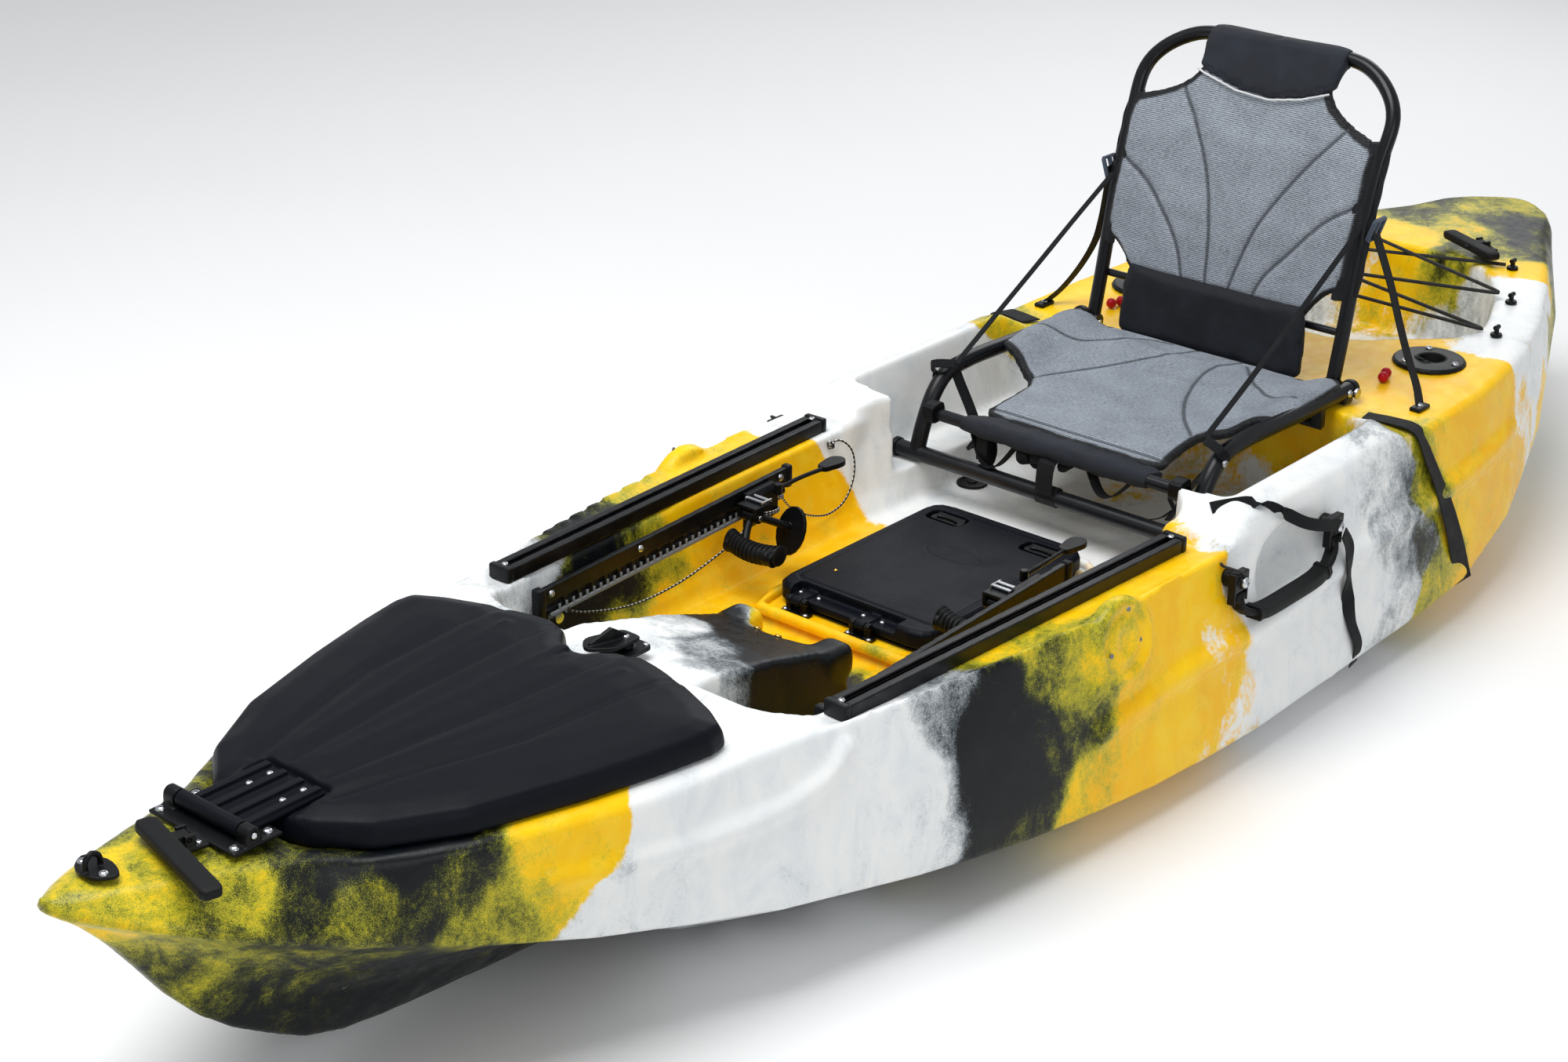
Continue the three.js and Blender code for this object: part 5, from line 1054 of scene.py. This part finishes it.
def seams(mesh, flat, lines, facing, weave, outline, depth=0.0034, width=0.0052):
    """Presses seams into a pad's face and gives its fabric the seam and weave attributes."""
    co, normals = coords_of(mesh), normals_of(mesh)
    points = flat(co)
    front = np.clip(facing(normals) * 3, 0, 1)
    near = np.full(len(co), 1e9)
    for line in lines:
        near = np.minimum(near, distance_to_line(points, smooth_path([(*p, 0) for p in line], 0.01)[:, :2]))
    co -= normals * (depth * np.exp(-(near / width) ** 2) * front)[:, None]
    attribute(mesh, "seam", np.clip(1.15 - near / 0.0050, 0, 1) * front)
    border = distance_to_line(points, outline)
    attribute(mesh, "edge", np.clip((0.015 - border) / 0.003, 0, 1))
    attribute(mesh, "weave", weave(co), "FLOAT_VECTOR")
    return co


def outline_of(halves):
    """The closed outline of a pad from its half-breadth at each place along it."""
    right = np.array(halves)
    return np.concatenate([right, right[::-1] * (1, -1), right[:1]])


def ripples(co, normals, points, lines, height, width):
    """Soft folds along lines."""
    for line in lines:
        d = distance_to_line(points, smooth_path([(*p, 0) for p in line], 0.01)[:, :2])
        co += normals * (height * np.exp(-(d / width) ** 2) * np.cos(d / width * 1.4))[:, None]
    return co


# The pan's half-breadth at each x.
PAN_HALF = np.array([(-.180, .120), (-.186, .150), (-.200, .163), (-.250, .160), (-.292, .160),
                     (-.318, .172), (-.334, .205), (-.346, .248), (-.360, .262), (-.50, .262),
                     (-.535, .258), (-.552, .235), (-.560, .17), (-.563, .12)])


def pan_top(x, y):
    """Height of the pan's fabric: slung between the side tubes, with a hollow for the sitter."""
    low = 0.319 + np.clip((-.183 - x) / .30, 0, 1) * 0.037
    dip = -0.008 * np.exp(-((x + .38) / .11) ** 2 - (y / .12) ** 2)
    rise = np.clip((np.abs(y) - .165) / .075, 0, 1)
    tube = np.clip((-.300 - x) / .05, 0, 1)
    rise = rise * rise * (3 - 2 * rise) * tube * tube * (3 - 2 * tube)
    edge = np.clip((np.abs(y) - .248) / .014, 0, 1)
    return low + dip + (0.3745 - low) * rise - 0.016 * edge ** 2 * tube


def make_pan():
    """The pan's slung fabric, the roll along its front and the webbing loops under it."""
    xs = np.interp(np.linspace(0, 1, 60), np.linspace(0, 1, len(PAN_HALF)), PAN_HALF[:, 0])
    rows = []
    for x in xs:
        half = np.interp(-x, -PAN_HALF[:, 0], PAN_HALF[:, 1])
        y = np.sin(np.linspace(-math.pi / 2, math.pi / 2, 61)) * half
        top = [(x, v, pan_top(x, v)) for v in y]
        under = [(x, v * 0.985, pan_top(x, v * 0.97) - 0.0125) for v in y[::-1]]
        rows.append(top + under)
    shape = Shape().grid(rows, wrap=True, caps=True)
    mesh = inflated(shape.mesh("pan"), "seat_pan_fabric", 0.0045, 3.0, 0.005)
    lines = [
        [(-.255, -.217), (-.358, -.137), (-.467, -.059), (-.545, -.008)],
        [(-.434, -.288), (-.457, -.183), (-.53, -.102), (-.542, -.055)],
        [(-.554, .077), (-.498, .047), (-.406, .063), (-.332, .106), (-.294, .143)],
        [(-.534, .086), (-.478, .136), (-.448, .189), (-.436, .23)],
        [(-.206, -.150), (-.206, .150)],
        [(-.548, -.20), (-.548, .20)],
    ]
    co = seams(mesh, lambda c: c[:, :2], lines, lambda n: n[:, 2],
               lambda c: np.stack([c[:, 1], c[:, 0], c[:, 2] * 0], axis=1), outline_of(PAN_HALF))
    folds = [[(-.33, -.20), (-.30, -.12), (-.29, -.03)], [(-.36, .19), (-.33, .13), (-.27, .06)],
             [(-.52, -.16), (-.50, -.06), (-.51, .05)], [(-.47, .15), (-.44, .08), (-.43, -.02)],
             [(-.24, -.12), (-.26, -.02), (-.25, .08)]]
    co = ripples(co, normals_of(mesh), co[:, :2], folds, 0.0016, 0.012)
    set_coords(mesh, co)
    place("seat_pan_fabric", mesh, FABRIC, "boat", "seat_fabric", ["seat_pan_cushion"])

    roll = Shape()
    ys = np.linspace(-.166, .166, 45)
    rows = []
    for y in ys:
        pinch = 1 - 0.25 * (abs(y) / .166) ** 8
        ring = []
        for t in np.linspace(0, 2 * math.pi, 20, endpoint=False):
            r = 0.0140 + 0.0009 * math.sin(y * 90) + 0.0006 * math.sin(y * 210 + 3 * t)
            x, z = r * math.cos(t) * pinch, r * math.sin(t) * pinch
            if x < 0:
                x *= 3.2
                z *= 0.82
            ring.append((-.152 + x, y, .3130 + z))
        rows.append(ring)
    roll.grid(rows, wrap=True, caps=True)
    roll.piece("seat_pan_roll", NYLON, "boat", "seat_fabric")
    loops = Shape()
    for y, drop in ((-.128, .045), (-.055, .022), (-.030, .022), (.020, .010)):
        loops.ribbon([(-.150, y, .300), (-.146, y + .003, .300 - drop * .6), (-.156, y + .006, .300 - drop),
                      (-.170, y + .004, .300 - drop * .7), (-.172, y, .301)], (0, 1, 0), 0.020, 0.0016)
    for start, end, low in ((-.150, -.070, .258), (.060, .135, .270)):
        arc = [(-.160 + .012 * math.sin(t), start + (end - start) * t / math.pi,
                .303 - (.303 - low) * math.sin(t)) for t in np.linspace(0, math.pi, 9)]
        loops.ribbon(arc, (1, 0, 0), 0.022, 0.0016)
    loops.ribbon([(-.150, 0, .304), (-.136, 0, .298), (-.131, 0, .275), (-.131, 0, .252)],
                 (0, 1, 0), 0.030, 0.0016)
    loops.ribbon([(-.133, 0, .246), (-.139, 0, .2585), (-.150, 0, .2588), (-.158, 0, .246),
                  (-.150, 0, .2325), (-.139, 0, .2325), (-.132, 0, .244)], (0, 1, 0), 0.038, 0.0016)
    loops.piece("seat_webbing_loops", WEBBING, "boat", "webbing")


# The backrest fabric's half-breadth at each z.
BACK_HALF = np.array([(.436, .156), (.455, .168), (.482, .190), (.497, .214), (.52, .220), (.70, .220),
                      (.715, .210), (.726, .178), (.738, .150), (.752, .129), (.765, .118), (.776, .112)])


def make_backrest():
    """The backrest's fabric, its side sleeves, the lumbar piece and the cap with its piping."""
    rows = []
    for z in np.linspace(.436, .776, 62):
        half = np.interp(z, BACK_HALF[:, 0], BACK_HALF[:, 1])
        y = np.sin(np.linspace(-math.pi / 2, math.pi / 2, 61)) * half
        sag = [-0.007 * (1 - (v / .22) ** 2) for v in y]
        front = [(back_x(z) + 0.0055 + s, v, z) for v, s in zip(y, sag)]
        back = [(back_x(z) - 0.0065 + s, v * 0.985, z) for v, s in zip(y[::-1], sag[::-1])]
        rows.append(front + back)
    form = Shape().grid(rows, wrap=True, caps=True)
    mesh = inflated(form.mesh("back"), "backrest_fabric", 0.0045, 3.0, 0.005)
    lines = [
        [(-.222, .63), (-.158, .594), (-.113, .549), (-.08, .502), (-.062, .451)],
        [(-.131, .734), (-.091, .686), (-.051, .611), (-.031, .539), (-.021, .449)],
        [(.161, .725), (.099, .644), (.051, .564), (.027, .49), (.018, .449)],
        [(.217, .627), (.165, .594), (.118, .54), (.076, .489), (.062, .455)],
        [(-.150, .456), (.150, .456)],
    ]
    co = seams(mesh, lambda c: c[:, 1:], lines, lambda n: n[:, 0],
               lambda c: np.stack([c[:, 1], c[:, 2] * 1.04, c[:, 0] * 0], axis=1),
               outline_of(BACK_HALF)[:, ::-1])
    folds = [[(-.05, .736), (-.001, .712), (.019, .68), (.019, .647)], [(-.086, .748), (-.086, .697)],
             [(.116, .75), (.109, .71)], [(-.19, .60), (-.15, .66), (-.14, .71)], [(.19, .60), (.15, .66)],
             [(-.11, .50), (-.13, .56)], [(.11, .50), (.14, .57)], [(-.03, .62), (.0, .58), (.01, .52)]]
    co = ripples(co, normals_of(mesh), co[:, 1:], folds, 0.0014, 0.010)
    set_coords(mesh, co)
    place("backrest_fabric", mesh, FABRIC, "backrest", "seat_fabric", ["backrest_panel"])

    sleeves = Shape()
    for side in (1, -1):
        rows = []
        for z in np.linspace(.484, .712, 40):
            x = np.interp(z, [p[1] for p in HOOP], [p[0] for p in HOOP])
            front = back_x(z) + 0.0035
            tip = 1 - 0.3 * abs((z - .598) / .114) ** 10
            r = 0.0135 * tip + 0.0005 * math.sin(z * 160)
            ring = [(front - 0.001, .197), (front + 0.0012, .204)]
            ring += [(x + r * math.cos(t), .219 + r * math.sin(t)) for t in (1.1, *np.linspace(.9, 4.6, 16))]
            ring += [(x + 0.003, .205), (front - 0.006, .197)]
            rows.append([(px, side * py, z) for px, py in ring])
        sleeves.grid(rows, wrap=True, caps=True)
    sleeves.piece("backrest_sleeves", BINDING, "backrest", "seat_fabric", angle=60)

    rows = []
    for z in np.linspace(.346, .466, 26):
        half = np.interp(z, [.346, .358, .43, .466], [.152, .170, .168, .160])
        y = np.sin(np.linspace(-math.pi / 2, math.pi / 2, 51)) * half
        front = [(back_x(z) + 0.009, v, z) for v in y]
        back = [(back_x(z) - 0.006, v * .985, z) for v in y[::-1]]
        rows.append(front + back)
    form = Shape().grid(rows, wrap=True, caps=True)
    mesh = inflated(form.mesh("lumbar"), "backrest_lumbar", 0.0045, 3.0, 0.005)
    place("backrest_lumbar", mesh, LUMBAR, "backrest", "seat_fabric")

    edge = np.array([(-.120, .766), (-.102, .760), (-.04, .745), (.019, .741), (.072, .750), (.120, .766)])
    cap, piping = Shape(), []
    rows = []
    for y in np.linspace(-.120, .120, 60):
        low = np.interp(y, edge[:, 0], edge[:, 1])
        fit = 1 - 0.14 * (abs(y) / .120) ** 14
        ring = [(back_x(low) + 0.0095, low), (back_x(low + .02) + 0.010, low + .02), (-.676, .801),
                (-.687, .816), (-.700, .8255), (-.713, .8265), (-.7225, .818), (-.7225, .805), (-.712, .793),
                (-.700, .788), (back_x(low + .02) - 0.014, low + .018), (back_x(low) - 0.008, low)]
        mx, mz = np.mean(ring, axis=0)
        rows.append([(mx + (x - mx) * fit, y, mz + (z - mz) * fit) for x, z in ring])
        if abs(y) < .119:
            piping.append((back_x(low) + 0.0105, y, low + 0.001))
    cap.grid(rows, wrap=True, caps=True)
    mesh = inflated(cap.mesh("cap"), "backrest_cap", 0.0035, 3.0, 0.003)
    place("backrest_cap", mesh, NYLON, "backrest", "seat_fabric")
    Shape().tube(piping, 0.0016, 10, 0.008).piece("backrest_piping", WHITE, "backrest", "seat_fabric")


def buckle(shape, centre, turn, size=(0.036, 0.030, 0.006)):
    """A ladder-lock buckle: a frame with three bars."""
    c = np.array(centre, float)
    turn = Matrix(turn).to_3x3()
    x, y, z = size
    for offset, part in (((0, y / 2, 0), (x, .005, z)), ((0, -y / 2, 0), (x, .005, z)),
                         ((x / 2, 0, 0), (.005, y, z)), ((-x / 2, 0, 0), (.005, y, z)),
                         ((0, 0, .0008), (.005, y, z * 1.1))):
        shape.block(c + np.array(turn @ Vector(offset)), part, 0.0018, turn)


def strap_on_hull(shape, rays, width, thick=0.0018):
    """A strap flat on the hull, where the rays, each a start and a direction, meet it."""
    spots, normals = [], []
    for start, direction in rays:
        spot, normal = on_hull(start, direction)
        spots.append(spot + normal * 0.0045)
        normals.append(normal)
    normals = np.array(normals)
    normals[1:-1] = (normals[:-2] + normals[1:-1] + normals[2:]) / 3
    along = np.gradient(np.array(spots), axis=0)
    across = np.cross(along, np.array(normals))
    across /= np.linalg.norm(across, axis=1)[:, None]
    shape.ribbon(spots, across, width, thick, 0.008)


def flank_points(line, side, lift=0.0022):
    out = []
    for x, z in line:
        spot, normal = on_flank(x, z, side)
        out.append(spot + normal * lift)
    return out


def make_straps():
    """Recline straps, seat tie-downs with their locks, side adjusters, red plugs and flank straps."""
    webs, locks = Shape(), Shape()
    for name, side in SIDES.items():
        strap = Shape()
        strap.ribbon([(-.204, .2215 * side, .379), (-.30, .2225 * side, .4295), (-.40, .222 * side, .4835),
                      (-.50, .221 * side, .539), (-.594, .2195 * side, .590)],
                     (0, 1, 0), 0.010, 0.0016, 0.012)
        piece = strap.piece(f"recline_strap_{name}_web", WEBBING, None, "webbing", [f"recline_strap_{name}"])
        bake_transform(piece)
        band = Shape()
        band.ribbon([(-.205, .258 * side, .352), (-.198, .262 * side, .362), (-.190, .258 * side, .372),
                     (-.194, .240 * side, .3772), (-.200, .226 * side, .378), (-.206, .2225 * side, .377)],
                    (1, 0, 0.5), 0.014, 0.0016)
        band.piece(f"recline_anchor_{name}", WEBBING, "boat", "webbing")
        # The webbing that ties the seat's side tube down, with its ladder lock.
        webs.ribbon([(-.205, .1685 * side, .235), (-.213, .176 * side, .252), (-.219, .196 * side, .292),
                     (-.224, .2315 * side, .346), (-.224, .2460 * side, .374)], (1, 0, 0), 0.024, 0.0016)
        webs.ribbon([(-.213, .172 * side, .250), (-.205, .160 * side, .238), (-.196, .146 * side, .2325),
                     (-.188, .128 * side, .2322)], (1, 0, 0), 0.024, 0.0016)
        buckle(locks, (-.216, .1815 * side, .262), Matrix.Rotation(-0.95 * side, 3, "X"))
    # Side adjusters down from the hoop to the deck.
    for name, side in SIDES.items():
        adjuster = Shape()
        foot, _ = on_hull((-.60, .345 * side, .5), (0, 0, -1))
        adjuster.ribbon([(-.612, .2335 * side, .598), (-.622, .245 * side, .56), (-.636, .262 * side, .50),
                         (-.640, .276 * side, .455), (-.634, .300 * side, .405), (-.622, .328 * side, .362),
                         (foot[0] - .004, foot[1], foot[2] + .004)], (1, 0, 0.15), 0.022, 0.0016, 0.01)
        piece = adjuster.piece(f"seat_adjuster_{name}", WEBBING, None, "webbing")
        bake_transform(piece)
        lock = Shape()
        buckle(lock, (-.615, .2375 * side, .592), Matrix.Rotation(1.25 * side, 3, "X"),
               (0.030, 0.034, 0.007))
        lock.piece(f"seat_adjuster_buckle_{name}", BUCKLE, "backrest", "black_plastic")
        anchor = Shape()
        anchor.block((foot[0] - .004, foot[1], foot[2] + .003), (.034, .018, .007), 0.0025)
        anchor.piece(f"seat_adjuster_anchor_{name}", BLACK, "boat", "black_plastic")
        screw("boat", (foot[0] - .004, foot[1], foot[2] + .0063), UP, 0.005)
        balls = Shape()
        ball = [(0.0085 * math.sin(t), -0.0085 * math.cos(t)) for t in np.linspace(0.15, math.pi - 0.15, 14)]
        deck = on_hull((-.679, .245 * side, .5), (0, 0, -1))[0]
        for dx, dy in ((0, 0), (.019, .006)):
            balls.lathe(ball, deck + np.array((dx, dy * side, .0085)), UP, 20)
        balls.piece(f"red_balls_{name}", RED, "boat", "rubber")
    # The straps down the flanks. Only the port ones are seen in the photo.
    for side in (1, -1):
        rays = [((x, y * side, .6), (0, 0, -1)) for x, y in ((-.512, .305), (-.517, .325), (-.522, .345))]
        rays += [((-.531, .670 * side, .575), (0, -.30 * side, -.25))]
        rays += [((x, side, z), (0, -side, 0)) for x, z in (
            (-.545, .290), (-.578, .212), (-.618, .125), (-.662, .058))]
        strap_on_hull(webs, rays, 0.038)
        if side > 0:
            over = [on_hull((x, y, .6), (0, 0, -1))[0] + np.array((0, 0, .005))
                    for x, y in ((-.062, .325), (-.115, .368))]
            over += [np.array((-.180, .4085, .3110)), np.array((-.246, .4235, .2890))]
            webs.ribbon(over, [(.7, -.7, 0), (.7, -.6, .2), (.5, -.2, .7), (.5, 0, .8)], .018, .0016)
        hang = [np.array((-.263, .4225 * side, .272)), np.array((-.276, .4255 * side, .250))]
        hang += flank_points([(-.287, .215), (-.293, .165), (-.300, .120), (-.318, .078), (-.330, .045)],
                             side, .005)
        across = [(.8, 0, .4), (1, 0, .1), (.75, .25 * side, .1), (.6, -.35 * side, 0), (.9, 0, -.1),
                  (1, 0, -.1), (1, 0, -.2)]
        webs.ribbon(hang, across, 0.022, 0.0018, 0.008)
    webs.piece("tie_down_webbing", WEBBING, "boat", "webbing")
    locks.piece("seat_ladder_locks", BLACK, "boat", "black_plastic")


def make_pedal_parts():
    """The bellows grip of each toe bar and the steel clip over each pedal's pin."""
    for name, side in SIDES.items():
        grip = Shape()
        profile = [(.004, -.048)]
        for i in range(13):
            h = -.047 + i * .0073
            profile += [(.0128, h), (.0153, h + .0012), (.0153, h + .0038), (.0128, h + .0052)]
        profile.append((.004, .0490))
        rows = []
        for r, h in profile:
            bend = -.010 * (h / .048) ** 2
            rows.append([(.304 + bend + r * math.cos(t), side * (.187 + h),
                          .251 - bend * .4 + r * math.sin(t)) for t in np.arange(24) * math.pi / 12])
        grip.grid(rows, wrap=True, caps=True)
        grip.piece(f"foot_toe_grip_{name}", RUBBER, f"foot_pedal_{name}", "rubber", angle=60)
        clip = Shape()
        for x in (.262, .250):
            clip.tube([(x, side * .199, .3066), (x, side * .231, .3066)], .0028, 12, curved=False)
        for y in (.200, .230):
            clip.block((.256, side * y, .3058), (.022, .0022, .0075), .001)
        clip.piece(f"foot_clip_{name}", STEEL, f"foot_slider_{name}", "steel")


def make_small_things():
    """Scupper caps, the side handles' sleeves and elastics, the flank bosses' plugs and a few trims."""
    caps = Shape()
    for side in (1, -1):
        deck = on_hull((-.232, .204 * side + 0.021, .4), (0, 0, -1))[0]
        caps.lathe([(0.023, 0), (0.0245, 0.0015), (0.0235, 0.0045), (0.019, 0.0052), (0.017, 0.0035),
                    (0.008, 0.0035), (0.007, 0.0058), (0.001, 0.0062)],
                   (-.232, .204 * side, deck[2]), UP, 36)
    caps.piece("scupper_caps", BLACK, "boat", "black_plastic")
    for name, side in SIDES.items():
        cord = Shape()
        path = smooth_path([*flank_points([(.006, .307), (.003, .303)], side, .003),
                            (-.003, .4165 * side, .300), (-.006, .4155 * side, .2965)], 0.003)
        cord.tube(path, 0.002, 10, curved=False)
        cord.piece(f"side_handle_elastic_{name}", ELASTIC, "boat", "webbing")
        pads = Shape()
        pads.ribbon([(-.040, .4165 * side, .2285), (-.062, .418 * side, .2242),
                     (-.1315, .4185 * side, .2228), (-.201, .418 * side, .2242),
                     (-.223, .4165 * side, .2285)], (0, 1, 0), 0.0275, 0.0165)
        for x in (-.043, -.220):
            pads.ribbon([(x - .004, .417 * side, .2277), (x + .004, .417 * side, .2277)],
                        (0, 1, 0), .0300, .0190, curved=False)
        pads.piece(f"side_handle_sleeve_{name}", RUBBER, f"carry_handle_{name}", "rubber")
        boss = Shape()
        spot, normal = on_flank(.236, .289, side)
        for angle in (90, 210, 330):
            t = math.radians(angle)
            place_at = spot + np.array((0.037 * math.cos(t), 0, 0.037 * math.sin(t))) + normal * 0.004
            boss.lathe([(0.0032, -.001), (0.0032, .0008), (0.0014, .0010)], place_at, normal, 14)
        boss.piece(f"flank_boss_plugs_{name}", GREY, "boat", "black_plastic")
    brass = Shape()
    for y in (.018, -.018):
        spot, normal = on_hull((.40, y, .2525), (1, 0, 0))
        brass.screw(spot, normal, 0.0052)
    brass.piece("console_screws", GOLD, "boat", "steel")
    flap = Shape()
    flap.ribbon([(-1.262, .088, .3795), (-1.240, .104, .3815), (-1.222, .112, .3805)],
                (0.35, 0.6, 0), 0.050, 0.0018)
    flap.piece("stern_handle_flap", WEBBING, "boat", "webbing")


GREY = plastic_material("grey_plastic", "6E7175", "9A9DA1", 0.5)
BUCKLE = plastic_material("blue_grey_plastic", "39424E", "5A6470", 0.4)
GOLD = metal_material("brass", "C9A24A", 0.3)
WHITE = cloth_material("piping", "C9CBCD", "E6E7E8", 0.002, 0.6)

make_camera()
make_hull()
make_fittings()
make_rod_liners()
make_bow_lid()
make_drive_well_cover()
make_rail_ends()
make_foot_ropes()
make_bungee()
make_seat_tubes()
make_pan()
make_backrest()
make_straps()
make_pedal_parts()
make_small_things()
make_screws()


# ---- stage ---------------------------------------------------------------------------------------
FLOOR_EDGES = np.linspace(-30, 30, 7)
ground = Shape().grid([[(x, y, 0) for y in FLOOR_EDGES] for x in FLOOR_EDGES])
floor = bpy.data.objects.new("floor", ground.mesh("floor"))
floor.data.materials.append(floor_material())
bpy.context.scene.collection.objects.link(floor)
make_light("key", (1.2, -0.4, 4.2), (0, 0, 0.2), 3.2, 165)
make_light("fill", (2.2, 4.4, 2.6), (0.2, 0.2, 0.2), 2.6, 34)
make_light("back", (-3.8, -1.5, 2.8), (0, 0, 0.3), 3.0, 38)
world = bpy.data.worlds.new("sky")
world.use_nodes = True
world.node_tree.nodes["Background"].inputs[0].default_value = (0.9, 0.92, 0.95, 1)
world.node_tree.nodes["Background"].inputs[1].default_value = 0.55
bpy.context.scene.world = world
bpy.context.scene.view_settings.view_transform = "Standard"
